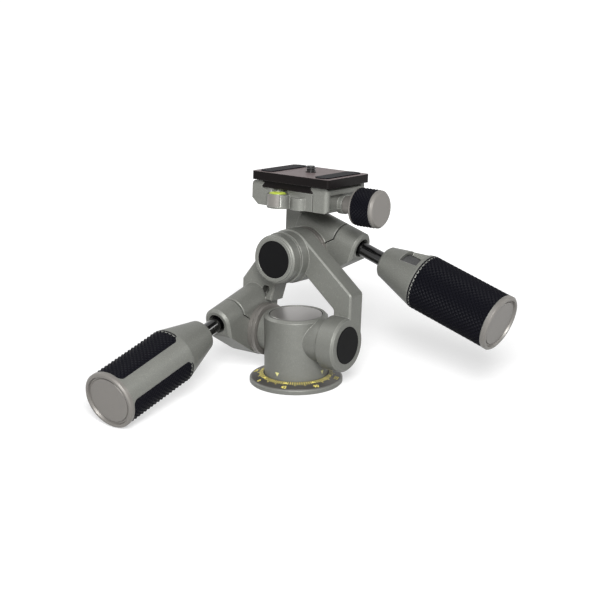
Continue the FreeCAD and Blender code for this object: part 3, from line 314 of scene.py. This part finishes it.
NUMBER_HEIGHT = 3.7 * MM
NUMBER_PLACE = 27.0 * MM
NUMBER_BOLD = 0.06 * MM
NUMBER_STEP = 360 * TICKS_BETWEEN_NUMBERS // TICKS
numbers = bmesh.new()
for step in range(TICKS // TICKS_BETWEEN_NUMBERS):
    words = bpy.data.curves.new("number", "FONT")
    words.body = str(step * NUMBER_STEP)
    words.size = NUMBER_HEIGHT
    words.align_x = "CENTER"
    words.align_y = "CENTER"
    words.extrude = INK
    words.offset = NUMBER_BOLD
    words.resolution_u = 3
    holder = bpy.data.objects.new("number", words)
    bpy.context.collection.objects.link(holder)
    bpy.context.view_layer.update()
    letters = bpy.data.meshes.new_from_object(holder)
    letters.transform(on_cone(SCALE_START + math.radians(step * NUMBER_STEP), NUMBER_PLACE))
    numbers.from_mesh(letters)
    bpy.data.objects.remove(holder)
    bpy.data.curves.remove(words)
    bpy.data.meshes.remove(letters)
new_piece("scale_numbers", numbers, "root", SCALE_YELLOW)

# The drum carries small pale pointers round its foot, which read against the scale.
POINTER_PALE = printed("pointer_pale", rgb(226, 222, 150))
DRUM_RADIUS = -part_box("pan_housing")[0].y
POINTER_RISE = 9.9 * MM
POINTER_SIZE = 1.7 * MM
POINTER_TURNS = (-90, 0, 180)
pointers = bmesh.new()
for turn in POINTER_TURNS:
    outward = Matrix.Rotation(math.radians(turn), 4, "Z")
    wall = outward @ Matrix.Translation((DRUM_RADIUS, 0, POINTER_RISE))
    facing = wall @ Matrix.Rotation(math.pi / 2, 4, "Y") @ Matrix.Rotation(-math.pi / 2, 4, "Z")
    arrow_mark(pointers, POINTER_SIZE, facing)
new_piece("drum_pointers", pointers, "pan", POINTER_PALE)


# ---------------------------------------------------------------- turned parts
# Caps, rings and the knob's core are turned from aluminium bar, with a fine grain, then clear
# anodised; they look a little warmer than the paint. Pins, nuts, studs and axles are steel.

TURNED_EDGE = 0.25 * MM


def plain_metal(name, colour, rough, metallic):
    """Turned metal, paler along its edges as a painted highlight."""
    made = Finish(name, Metallic=metallic)
    rounded, edge = made.soft_edge(TURNED_EDGE)
    tone = made.blend(made.grain(5 * MM), dimmed(colour, 0.93), colour)
    # The paler colour along the edges is a painted highlight.
    made.feed("Base Color", made.blend(edge * 0.35, tone, dimmed(colour, 1.35)))
    made.feed("Roughness", rough + made.grain(0.4 * MM) * 0.08 - edge * 0.05)
    made.dented(made.grain(0.2 * MM), 0.004 * MM, rounded)
    return made.material


TURNED = plain_metal("turned_aluminium", rgb(118, 115, 111), 0.38, 0.5)
STEEL = plain_metal("steel", rgb(150, 150, 150), 0.25, 1.0)
dress(TURNED, "tilt_flange_ring", "roll_flange_ring", "tilt_washer", "roll_washer",
      "tilt_grip_end_cap", "roll_grip_end_cap", "plate_knob_core", "level_holder")
dress(STEEL, "tripod_socket_insert", "pan_hub", "pan_retaining_nut", "tilt_axle", "roll_axle",
      "roll_axle_nut", "jaw_guide_pins", "plate_stop_pin", "pan_lock_stud", "plate_clamp_screw")


# ---------------------------------------------------------------- black parts
# Boss caps, pan lock knob and lock rings are moulded black plastic, the rods are black chromed
# steel, the bearings and brake shoes are white plastic, and the pads on the plate are rubber.

MOULDED_EDGE = 0.25 * MM


def moulded(name, colour, rough, coat=0.0, shine=0.3):
    """Plastic, rubber or a glossy coat, paler along its edges as a painted highlight."""
    made = Finish(name, Coat_Weight=coat, Coat_Roughness=0.05, Specular_IOR_Level=shine)
    rounded, edge = made.soft_edge(MOULDED_EDGE)
    tone = made.blend(made.grain(3 * MM), dimmed(colour, 0.8), colour)
    # The paler colour along the edges is a painted highlight.
    made.feed("Base Color", made.blend(edge * 0.2, tone, dimmed(colour, 2.0)))
    made.feed("Roughness", rough + made.grain(0.3 * MM) * 0.12)
    made.dented(made.grain(0.25 * MM), 0.006 * MM, rounded)
    return made.material


BLACK_PLASTIC = moulded("black_plastic", rgb(11, 11, 12), 0.45, shine=0.08)
GLOSS_ROD = moulded("gloss_rod", rgb(5, 5, 6), 0.12, 0.6)
RUBBER = moulded("black_rubber", rgb(9, 9, 15), 0.48, shine=0.05)
BEARING = moulded("bearing_plastic", rgb(205, 203, 196), 0.45)
dress(BLACK_PLASTIC, "tilt_right_cap", "tilt_left_cap", "roll_front_cap", "roll_rear_cap")
dress(GLOSS_ROD, "tilt_handle_rod", "roll_handle_rod")
dress(RUBBER, "plate_pads")
dress(BEARING, "pan_glide_washer", "tilt_right_bush", "tilt_left_bush", "roll_bush", "tilt_grip_bush",
      "roll_grip_bush", "tilt_brake_shoe", "roll_brake_shoe", "pan_lock_shoe")


# ---------------------------------------------------------------- knurled rubber
# The grips' sleeves and the plate knob's band are rubber with a diamond knurl of square pyramids.
# A sleeve leaves a bare strip of the grip open; the band runs all round the knob.

AXES = {joint["name"]: joint for joint in frame["joints"]}


def shaft_frame(joint, label):
    """A frame on a joint's axis and the sizes of a node round it.

    X runs along the axis and Z points away from the node's open side. The sizes are its start and
    end along X, its inner and outer radius, and the half angle that it covers."""
    along = Vector(AXES[joint]["axis"]).normalized()
    up = along.orthogonal().normalized()
    side = up.cross(along)
    place = Matrix.Translation(AXES[joint]["pos_m"]) @ Matrix((along, side, up)).transposed().to_4x4()
    points = [place.inverted() @ vertex.co for vertex in frame["nodes"][label].data.vertices]
    spans = [point.x for point in points]
    outs = [math.hypot(point.y, point.z) for point in points]
    turns = sorted(math.atan2(point.y, point.z) for point in points)
    following = turns[1:] + [turns[0] + math.tau]
    gap, turn = max((after - turn, turn) for turn, after in zip(turns, following))
    place = place @ Matrix.Rotation(math.pi - turn - gap / 2, 4, "X")
    return place, min(spans), max(spans), min(outs), max(outs), math.pi - gap / 2


def whole(mesh):
    """All the corners, edges and faces of a mesh."""
    return mesh.verts[:] + mesh.edges[:] + mesh.faces[:]


STRIP_WIDTH = 3 * MM
CORNER_CUTS = (22.5, 45.0, 67.5)


def knurled(start, end, inner, outer, half_turn, pitch, tooth, corner=0.0, land_end=-1.0, land=0.0):
    """A sleeve about X with a skin of small square pyramids, open or closed round.

    It is made flat, cut to its outline, given walls and a back, then bent round. Up to land_end
    the grip's own land lies under it, so there its valleys stay outside that radius."""
    closed = half_turn > math.pi - 0.01
    half = outer * (math.pi if closed else half_turn)
    count = round(2 * half / pitch)
    step = 2 * half / count
    centre = (start + end) / 2
    reach = math.ceil(((end - start) / 2 + 2 * half) / step) + 2
    mesh = bmesh.new()
    slanted = Matrix.Translation((centre, half, 0)) @ Matrix.Rotation(math.pi / 4, 4, "Z")
    bmesh.ops.create_grid(mesh, x_segments=2 * reach, y_segments=2 * reach,
                          size=reach * step / math.sqrt(2), matrix=slanted)
    middles = [(face, face.calc_center_median()) for face in mesh.faces]
    far = [face for face, middle in middles
           if abs(middle.x - centre) > (end - start) / 2 + step or abs(middle.y) > half + step]
    bmesh.ops.delete(mesh, geom=far, context="FACES")
    bmesh.ops.poke(mesh, faces=mesh.faces, offset=tooth)
    cuts = [((start, 0), (-1, 0)), ((end, 0), (1, 0)), ((0, -half), (0, -1)), ((0, half), (0, 1))]
    if corner:
        for lean in CORNER_CUTS:
            out_x, out_y = math.cos(math.radians(lean)), math.sin(math.radians(lean))
            for flip_x in (-1, 1):
                for flip_y in (-1, 1):
                    normal = (flip_x * out_x, flip_y * out_y)
                    point = (centre + flip_x * ((end - start) / 2 - corner) + corner * normal[0],
                             flip_y * (half - corner) + corner * normal[1])
                    cuts.append((point, normal))
    for point, normal in cuts:
        bmesh.ops.bisect_plane(mesh, geom=whole(mesh), dist=1e-7, plane_co=(*point, 0),
                               plane_no=(*normal, 0), clear_outer=True)
    rim = [edge for edge in mesh.edges if edge.is_boundary]
    walls = bmesh.ops.extrude_edge_only(mesh, edges=rim)["geom"]
    depth = inner - outer + tooth
    for vertex in walls:
        if isinstance(vertex, bmesh.types.BMVert):
            vertex.co.z = depth
    foot = [edge for edge in mesh.edges if edge.is_boundary]
    bmesh.ops.holes_fill(mesh, edges=foot, sides=0)
    if closed:
        seam = [face for face in mesh.faces
                if all(abs(abs(vertex.co.y) - half) < 1e-7 for vertex in face.verts)]
        bmesh.ops.delete(mesh, geom=seam, context="FACES")
    strips = round(2 * half / STRIP_WIDTH)
    for strip in range(1, strips):
        fold = -half + 2 * half * strip / strips
        bmesh.ops.bisect_plane(mesh, geom=whole(mesh), dist=1e-7, plane_co=(0, fold, 0),
                               plane_no=(0, 1, 0))
    for vertex in mesh.verts:
        turn = vertex.co.y / outer
        out = outer - tooth + vertex.co.z
        if vertex.co.x < land_end and vertex.co.z > depth / 2:
            out = max(out, land)
        vertex.co = (vertex.co.x, out * math.sin(turn), out * math.cos(turn))
    bmesh.ops.remove_doubles(mesh, verts=mesh.verts, dist=1e-6)
    bmesh.ops.recalc_face_normals(mesh, faces=mesh.faces)
    return mesh


SLEEVE_PITCH = 3.0 * MM
SLEEVE_TOOTH = 0.8 * MM
SLEEVE_CORNER = 5.0 * MM
SHOULDER_LIP = 1.7 * MM
GRIP_LAND = 17.66 * MM
for name in ("tilt", "roll"):
    place, start, end, inner, outer, covered = shaft_frame(f"{name}_ring_turn", f"{name}_grip_panels")
    sleeve = knurled(start - SHOULDER_LIP, end, inner, outer, covered, SLEEVE_PITCH, SLEEVE_TOOTH,
                     SLEEVE_CORNER, start, GRIP_LAND)
    rubber = new_piece(f"{name}_grip_sleeve", sleeve, f"{name}_grip", RUBBER, place)
    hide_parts(f"{name}_grip_panels")

BAND_PITCH = 2.4 * MM
BAND_TOOTH = 0.65 * MM
place, *band_sizes = shaft_frame("plate_knob_turn", "plate_knob_band")[:5]
band = knurled(*band_sizes, math.pi, BAND_PITCH, BAND_TOOTH)
made = new_piece("knob_knurl", band, "plate_knob", RUBBER, place)
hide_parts("plate_knob_band")


# ---------------------------------------------------------------- lock rings
# A black plastic ring turns in the window of each grip and locks the grip's slide on its rod.
# Its skin has a fine knurl for the thumb.

RING_PITCH = 1.3 * MM
RING_TOOTH = 0.28 * MM
RING_PLASTIC = moulded("ring_plastic", rgb(58, 58, 58), 0.45)
for name in ("tilt", "roll"):
    place, *ring_sizes = shaft_frame(f"{name}_ring_turn", f"{name}_grip_lock_ring")[:5]
    ring = knurled(*ring_sizes, math.pi, RING_PITCH, RING_TOOTH)
    made = new_piece(f"{name}_lock_knurl", ring, f"{name}_ring", RING_PLASTIC, place)
    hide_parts(f"{name}_grip_lock_ring")


# ---------------------------------------------------------------- pan lock knob
# The knob on the drum's back is moulded black plastic with scallops round its rim for the fingers.
# It runs just above the base's cone when the drum turns.

KNOB_RADIUS = 6.7 * MM
KNOB_BACK_EDGE = 1.0 * MM
KNOB_FRONT_EDGE = 1.2 * MM
KNOB_RIM = 2.6 * MM
KNOB_DISH = 2.9 * MM
KNOB_DISH_DEPTH = 0.5 * MM
SCALLOPS = 8
SCALLOP_DEPTH = 0.09
SCALLOP_BAND = 1.3 * MM
knob_low, knob_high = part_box("pan_lock_knob")
knob_length = knob_high.y - knob_low.y
knob = spun([(0, 0), (KNOB_RADIUS - KNOB_BACK_EDGE, 0), (KNOB_RADIUS, KNOB_BACK_EDGE),
             (KNOB_RADIUS, knob_length - KNOB_FRONT_EDGE),
             (KNOB_RADIUS - KNOB_FRONT_EDGE, knob_length), (KNOB_RADIUS - KNOB_RIM, knob_length),
             (KNOB_RADIUS - KNOB_DISH, knob_length - KNOB_DISH_DEPTH),
             (0, knob_length - KNOB_DISH_DEPTH)], 64)
for vertex in knob.verts:
    if math.hypot(vertex.co.x, vertex.co.y) > KNOB_RADIUS - SCALLOP_BAND:
        wave = 0.5 + 0.5 * math.cos(SCALLOPS * math.atan2(vertex.co.y, vertex.co.x))
        share = 1 - SCALLOP_DEPTH * wave ** 3
        vertex.co.x *= share
        vertex.co.y *= share
stand = Matrix.Translation((0, knob_low.y, (knob_low.z + knob_high.z) / 2))
stand = stand @ Matrix.Rotation(-math.pi / 2, 4, "X")
made = new_piece("lock_knob_scallops", knob, "pan_lock", BLACK_PLASTIC, stand)
smooth_sides(made)
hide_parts("pan_lock_knob")


# ---------------------------------------------------------------- drum cap
# A flat turned disc of brighter aluminium closes the drum; a thin black ring round it is painted
# shade that stands for the dark gap in the joint.

CAP_DISC = plain_metal("cap_aluminium", rgb(160, 157, 155), 0.30, 0.8)
# Black for the painted shade in the gap round the cap.
GAP_SHADE_BLACK = moulded("gap_shade_black", rgb(8, 8, 8), 0.6, shine=0.1)
GAP_SHADE_WIDTH = 0.55 * MM
GAP_SHADE_CLEARANCE = 0.01 * MM
CAP_SINK = 0.15 * MM
CAP_EDGE = 0.25 * MM
CAP_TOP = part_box("pan_housing")[1].z - CAP_SINK
cap_low, cap_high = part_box("pan_top_cap")
gap_shade_out = cap_high.x - GAP_SHADE_CLEARANCE
cap_out = gap_shade_out - GAP_SHADE_WIDTH
cap = spun([(0, cap_low.z), (cap_out, cap_low.z), (cap_out, CAP_TOP - CAP_EDGE),
            (cap_out - CAP_EDGE, CAP_TOP), (0, CAP_TOP)])
made = new_piece("drum_cap_disc", cap, "pan", CAP_DISC)
smooth_sides(made)
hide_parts("pan_top_cap")
# The black ring is painted shade for the dark gap between the cap and the drum.
gap_shade = spun([(cap_out, cap_low.z), (gap_shade_out, cap_low.z), (gap_shade_out, CAP_TOP - CAP_EDGE),
             (cap_out, CAP_TOP - CAP_EDGE)])
new_piece("drum_cap_gap_shade", gap_shade, "pan", GAP_SHADE_BLACK)


# ---------------------------------------------------------------- platform
# One casting: deck, slim neck at the left, round housing over the roll axle, and the fixed half of
# the roll clamp with its barrel and stepped split face. The deck keeps its machined channel.

AXLE_UP = Vector(AXES["camera_screw_turn"]["axis"]).normalized()
TILT_CENTRE = Vector(AXES["tilt_turn"]["pos_m"])


def squared(origin, along, forward):
    """A frame at origin with X and Y along two square directions."""
    turned = Matrix((along, forward, along.cross(forward))).transposed().to_4x4()
    return Matrix.Translation(origin) @ turned


def prism(outline, low, high):
    """A closed block from an outline of (x, z) corners, from y low to y high."""
    mesh = bmesh.new()
    face = mesh.faces.new([mesh.verts.new((x, low, z)) for x, z in outline])
    pushed = bmesh.ops.extrude_face_region(mesh, geom=[face])["geom"]
    corners = [part for part in pushed if isinstance(part, bmesh.types.BMVert)]
    bmesh.ops.translate(mesh, verts=corners, vec=(0, high - low, 0))
    bmesh.ops.recalc_face_normals(mesh, faces=mesh.faces)
    return mesh


def cut_off(mesh, point, normal):
    """Cut away what lies beyond a plane and close the cut."""
    cut = bmesh.ops.bisect_plane(mesh, geom=whole(mesh), dist=1e-6, plane_co=point,
                                 plane_no=normal, clear_outer=True)["geom_cut"]
    rim = [part for part in cut if isinstance(part, bmesh.types.BMEdge)]
    bmesh.ops.holes_fill(mesh, edges=rim, sides=0)


def softened(mesh, width):
    """Break the sharp edges of a block as on a casting."""
    sharp = [edge for edge in mesh.edges if edge.calc_face_angle(0) > math.radians(35)]
    bmesh.ops.bevel(mesh, geom=sharp, offset=width, offset_type="OFFSET", segments=2, profile=0.5,
                    affect="EDGES", material=-1)


def joined(mesh, part, at):
    """Add a part to a mesh at a place."""
    data = bpy.data.meshes.new("part")
    part.to_mesh(data)
    part.free()
    data.transform(at)
    mesh.from_mesh(data)
    bpy.data.meshes.remove(data)


DECK_BOTTOM = 82.95 * MM
ROLL_RISE = 49.6 * MM
NECK_LEFT = -26.6 * MM
NECK_RIGHT = -15.0 * MM
NECK_TOP = DECK_BOTTOM + 1 * MM
NECK_EDGE = 0.6 * MM
CLAMP_HALF_WIDTH = 9.7 * MM
HOUSING_RADIUS = 17.3 * MM
SPLIT_NEAR = 11.5 * MM
SPLIT_TOP = 16.2 * MM
SPLIT_DROP = 4.7 * MM
BARREL_BACK = -13.0 * MM
roll_line = Vector(AXES["roll_turn"]["axis"]).normalized()
handle_line = Vector(AXES["roll_clamp_feed"]["axis"]).normalized()
tilt_place = squared(TILT_CENTRE, Vector((1, 0, 0)), roll_line)
clamp_place = squared(Vector(AXES["roll_turn"]["pos_m"]), handle_line, roll_line)
on_handle = clamp_place.inverted() @ Vector(AXES["roll_clamp_turn"]["pos_m"])
near, far = on_handle.y - CLAMP_HALF_WIDTH, on_handle.y + CLAMP_HALF_WIDTH
lift = on_handle.z

# The housing stands a hair proud of the saddle, and the saddle of the neck, at both faces.
SADDLE_STEP = 0.15 * MM
NECK_STEP = 0.3 * MM
platform = bmesh.new()
platform.from_mesh(frame["nodes"]["platform_body"].data)
bmesh.ops.remove_doubles(platform, verts=platform.verts, dist=2e-6)
cut_off(platform, tilt_place @ Vector((0, 0, DECK_BOTTOM)), -AXLE_UP)
neck = prism([(NECK_LEFT, ROLL_RISE), (NECK_RIGHT, ROLL_RISE), (NECK_RIGHT, NECK_TOP),
              (NECK_LEFT, NECK_TOP)], near + NECK_STEP, far - NECK_STEP)
softened(neck, NECK_EDGE)
joined(platform, neck, tilt_place)
across = Matrix.Translation((0, on_handle.y, 0)) @ Matrix.Rotation(math.pi / 2, 4, "X")
housing = bmesh.new()
bmesh.ops.create_cone(housing, cap_ends=True, segments=96, radius1=HOUSING_RADIUS,
                      radius2=HOUSING_RADIUS, depth=2 * CLAMP_HALF_WIDTH, matrix=across)
cut_off(housing, (SPLIT_NEAR, 0, 0), (1, 0, 0))
joined(platform, housing, clamp_place)
saddle = prism([(BARREL_BACK, 0), (SPLIT_NEAR, 0), (SPLIT_NEAR, lift - SPLIT_DROP),
                (SPLIT_TOP, lift), (BARREL_BACK, lift)], near + SADDLE_STEP, far - SADDLE_STEP)
joined(platform, saddle, clamp_place)
barrel = bmesh.new()
lying = Matrix.Translation(((BARREL_BACK + SPLIT_TOP) / 2, on_handle.y, lift))
lying = lying @ Matrix.Rotation(math.pi / 2, 4, "Y")
bmesh.ops.create_cone(barrel, cap_ends=True, segments=96, radius1=CLAMP_HALF_WIDTH,
                      radius2=CLAMP_HALF_WIDTH, depth=SPLIT_TOP - BARREL_BACK, matrix=lying)
cut_off(barrel, (SPLIT_TOP, 0, lift), (1, 0, -1))
joined(platform, barrel, clamp_place)
made = new_piece("platform_casting", platform, "platform", GREY_PAINT)
smooth_sides(made, 25)
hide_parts("platform_body")


# ---------------------------------------------------------------- release plate
# The camera plate is milled aluminium, anodised black. Its flat top is painted a lighter, slightly
# warm grey with streaks along its length as a painted reflection; its edges carry a painted
# highlight.

PLATE_EDGE = 0.35 * MM
STREAK_WIDTH = 3 * MM
STREAK_CROSSWISE = (1, 12, 1)
FLAT_TOP = 0.98
plate_finish = Finish("plate_black", Specular_IOR_Level=0.08)
rounded, edge = plate_finish.soft_edge(PLATE_EDGE)
upward = plate_finish.product(plate_finish.node("ShaderNodeNewGeometry", out="Normal"), AXLE_UP)
stretched_place = plate_finish.node("ShaderNodeMapping", {},
                            {"Vector": plate_finish.place(), "Scale": STREAK_CROSSWISE})
streaks = plate_finish.grain(STREAK_WIDTH, 2, stretched_place)
# The lighter top colour is a painted reflection, streaked along the plate.
painted_top_reflection = plate_finish.blend(streaks, rgb(92, 82, 82), rgb(118, 106, 106))
# Black, paler along the edges as a painted highlight.
black_and_edge_highlight = plate_finish.blend(edge * 0.5, rgb(13, 10, 10), rgb(96, 92, 92))
plate_finish.feed("Base Color", plate_finish.blend(upward > FLAT_TOP, black_and_edge_highlight, painted_top_reflection))
plate_finish.feed("Roughness", 0.38 + plate_finish.grain(0.4 * MM) * 0.1)
plate_finish.dented(plate_finish.grain(0.25 * MM), 0.005 * MM, rounded)
dress(plate_finish.material, "release_plate")


# ---------------------------------------------------------------- level
# A round spirit level stands in a turned holder in front of the deck: yellow green spirit under a
# low dome, with a bubble inside a black ring. The spirit glows with its own colour, painted light
# that keeps it bright in the shade under the plate.

def upright(point):
    """A frame at a point whose Z follows the platform's own upright."""
    across = Vector((1, 0, 0))
    return squared(point, across, AXLE_UP.cross(across))


def along_upright(label):
    """The middle line and the span of a node that stands upright on the platform."""
    points = [vertex.co for vertex in frame["nodes"][label].data.vertices]
    spans = [point.dot(AXLE_UP) for point in points]
    low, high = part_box(label)
    middle = (low + high) / 2
    foot = middle + AXLE_UP * (min(spans) - middle.dot(AXLE_UP))
    return upright(foot), max(spans) - min(spans)


VIAL_RADIUS = 5.45 * MM
DOME_RISE = 0.9 * MM
BUBBLE_RADIUS = 1.9 * MM
LINE_INSIDE = 2.2 * MM
LINE_OUTSIDE = 2.6 * MM
RIM_INSIDE = 4.9 * MM
vial_place, vial_height = along_upright("level_vial")
vial_edge = vial_height + 0.5 * MM
leans = [math.radians(lean) for lean in range(0, 90, 15)]
dome = [(VIAL_RADIUS * math.cos(lean), vial_edge + DOME_RISE * math.sin(lean)) for lean in leans]
vial = spun([(0, 0), (VIAL_RADIUS, 0)] + dome + [(0, vial_edge + DOME_RISE)], 64)
# The spirit gives out its own colour as light: a painted glow that keeps it bright under the plate.
spirit = Finish("level_spirit", Coat_Weight=0.4, Coat_Roughness=0.05, Roughness=0.3,
                Emission_Strength=0.35)
where = spirit.node("ShaderNodeVectorMath", {"operation": "SUBTRACT"},
                    {0: spirit.place(), 1: vial_place @ Vector((0, 0, vial_height))})
out = spirit.distance(where)
yellow_green = spirit.blend(spirit.grain(4 * MM), rgb(176, 196, 66), rgb(196, 208, 96))
bubble = spirit.blend(out < BUBBLE_RADIUS, yellow_green, rgb(222, 230, 150))
line = (out > LINE_INSIDE) * (out < LINE_OUTSIDE)
rim = out > RIM_INSIDE
marked = spirit.blend(line, bubble, rgb(30, 34, 20))
glowing = spirit.blend(rim * 0.7, marked, rgb(70, 84, 34))
spirit.feed("Base Color", glowing)
# The emitted colour is painted light.
spirit.feed("Emission Color", glowing)
made = new_piece("level_spirit", vial, "platform", spirit.material, vial_place)
smooth_sides(made, 40)
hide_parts("level_vial")


# ---------------------------------------------------------------- camera screw
# A blackened steel quarter inch screw: flat head under the plate, a thinner neck through it, and
# a stud above the plate with a rolled thread of 1.27 mm pitch.

screw_place, screw_height = along_upright("camera_screw")
centre = Vector(AXES["camera_screw_turn"]["pos_m"])
foot = centre + AXLE_UP * (screw_place.translation.dot(AXLE_UP) - centre.dot(AXLE_UP))
HEAD_RADIUS = 8.0 * MM
HEAD_HEIGHT = 2.6 * MM
HEAD_EDGE = 0.3 * MM
NECK_RADIUS = 2.35 * MM
STUD_RADIUS = 3.1 * MM
STUD_LENGTH = 3.4 * MM
THREAD_PITCH = 1.27 * MM
THREAD_DEPTH = 0.62 * MM
THREAD_ROOT = 0.1 * MM
STEPS_A_TURN = 36
core_radius = STUD_RADIUS - THREAD_DEPTH
stud_foot = screw_height - STUD_LENGTH
screw = spun([(0, 0), (HEAD_RADIUS - HEAD_EDGE, 0), (HEAD_RADIUS, HEAD_EDGE),
              (HEAD_RADIUS, HEAD_HEIGHT),
              (NECK_RADIUS, HEAD_HEIGHT), (NECK_RADIUS, stud_foot), (core_radius, stud_foot),
              (core_radius, screw_height), (0, screw_height)], 48)
turns = (STUD_LENGTH - THREAD_PITCH) / THREAD_PITCH
root = core_radius - THREAD_ROOT
section = [(root, 0), (STUD_RADIUS, 0.42 * THREAD_PITCH), (STUD_RADIUS, 0.52 * THREAD_PITCH),
           (root, 0.94 * THREAD_PITCH)]
ridge = bmesh.new()
ridge_steps = round(turns * STEPS_A_TURN)
corners = [ridge.verts.new((radius, 0, stud_foot + height)) for radius, height in section]
bmesh.ops.spin(ridge, geom=[ridge.faces.new(corners)], cent=(0, 0, 0), axis=(0, 0, 1),
               dvec=(0, 0, turns * THREAD_PITCH / ridge_steps), angle=math.tau * turns,
               steps=ridge_steps, use_merge=False, use_duplicate=False)
bmesh.ops.recalc_face_normals(ridge, faces=ridge.faces)
joined(screw, ridge, Matrix.Identity(4))
SCREW_BLACK = moulded("screw_black", rgb(34, 33, 34), 0.3, 0.3)
made = new_piece("camera_screw_threaded", screw, "camera_screw", SCREW_BLACK, upright(foot))
smooth_sides(made)
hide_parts("camera_screw")


# ---------------------------------------------------------------- floor, light and camera
# A white table that runs out of sight, a broad soft lamp in front and to the right, a weak one at
# the left and another behind, and a long lens a little above the head.

def seen_directly(tree):
    """1 for the camera, mirrors and glass, 0 for the light that falls on things."""
    camera_ray, glossy_ray, clear_ray = (tree.node("ShaderNodeLightPath", out=f"Is {ray} Ray")
                                         for ray in ("Camera", "Glossy", "Transmission"))
    total = camera_ray + glossy_ray + clear_ray
    return tree.node("ShaderNodeMath", {"operation": "MINIMUM"}, {0: total, 1: 1.0})


# The table's own white is weaker near the head, so that the head's shadow shows on it.
FLOOR_NEAR = 0.55
FLOOR_FAR = 1.0
NEAR_REACH = 0.12
FAR_REACH = 0.5
FLOOR_HALF_SIZE = 6.0
ROOM_LIGHT = 0.14
floor_mesh = bmesh.new()
bmesh.ops.create_grid(floor_mesh, x_segments=1, y_segments=1, size=FLOOR_HALF_SIZE)
floor_data = bpy.data.meshes.new("floor")
floor_mesh.to_mesh(floor_data)
floor_mesh.free()
floor = bpy.data.objects.new("floor", floor_data)
bpy.context.collection.objects.link(floor)
table = Finish("white_table", (0.5, 0.5, 0.5, 1), Roughness=0.9, Specular_IOR_Level=0.0,
               Emission_Strength=1.0)
away = table.distance(table.place())
own_white = table.node("ShaderNodeMapRange", {"interpolation_type": "SMOOTHSTEP"},
                       {0: away, 1: NEAR_REACH, 2: FAR_REACH, 3: FLOOR_NEAR, 4: FLOOR_FAR})
table.feed("Emission Color", seen_directly(table) * own_white)
floor_data.materials.append(table.material)

world = bpy.data.worlds.new("studio")
bpy.context.scene.world = world
studio = Tree(world)
studio.nodes.clear()
room = studio.node("ShaderNodeBackground", {}, {"Color": (1, 1, 1, 1), "Strength": ROOM_LIGHT})
white = studio.node("ShaderNodeBackground", {}, {"Color": (1, 1, 1, 1), "Strength": 1.0})
mixed = studio.node("ShaderNodeMixShader", {}, {0: seen_directly(studio), 1: room, 2: white})
sky = studio.nodes.new("ShaderNodeOutputWorld")
studio.links.new(mixed.socket, sky.inputs["Surface"])


def lamp(name, place, target, size, power):
    """A square soft lamp that looks at target."""
    light = bpy.data.lights.new(name, "AREA")
    light.shape = "SQUARE"
    light.size = size
    light.energy = power
    made = bpy.data.objects.new(name, light)
    made.location = place
    made.rotation_euler = (Vector(target) - Vector(place)).to_track_quat("-Z", "Y").to_euler()
    bpy.context.collection.objects.link(made)


HEART = (0.0, 0.0, 0.07)
lamp("key", (0.60, -0.80, 0.62), HEART, 0.35, 21.0)
lamp("fill", (-0.9, -0.2, 0.75), HEART, 0.4, 3.0)
lamp("rim", (0.9, 0.7, 0.7), HEART, 0.3, 2.0)

CAMERA_PLACE = (0.51205, -0.70870, 0.29971)
CAMERA_LOOK = Vector((-0.5616, 0.7820, -0.2707))
camera = bpy.data.objects.new("camera", bpy.data.cameras.new("camera"))
camera.data.lens = 85.56
camera.data.sensor_width = 36.0
camera.data.clip_start = 0.01
camera.location = CAMERA_PLACE
camera.rotation_euler = CAMERA_LOOK.to_track_quat("-Z", "Y").to_euler()
bpy.context.collection.objects.link(camera)
bpy.context.scene.camera = camera
bpy.context.scene.view_settings.view_transform = "Standard"
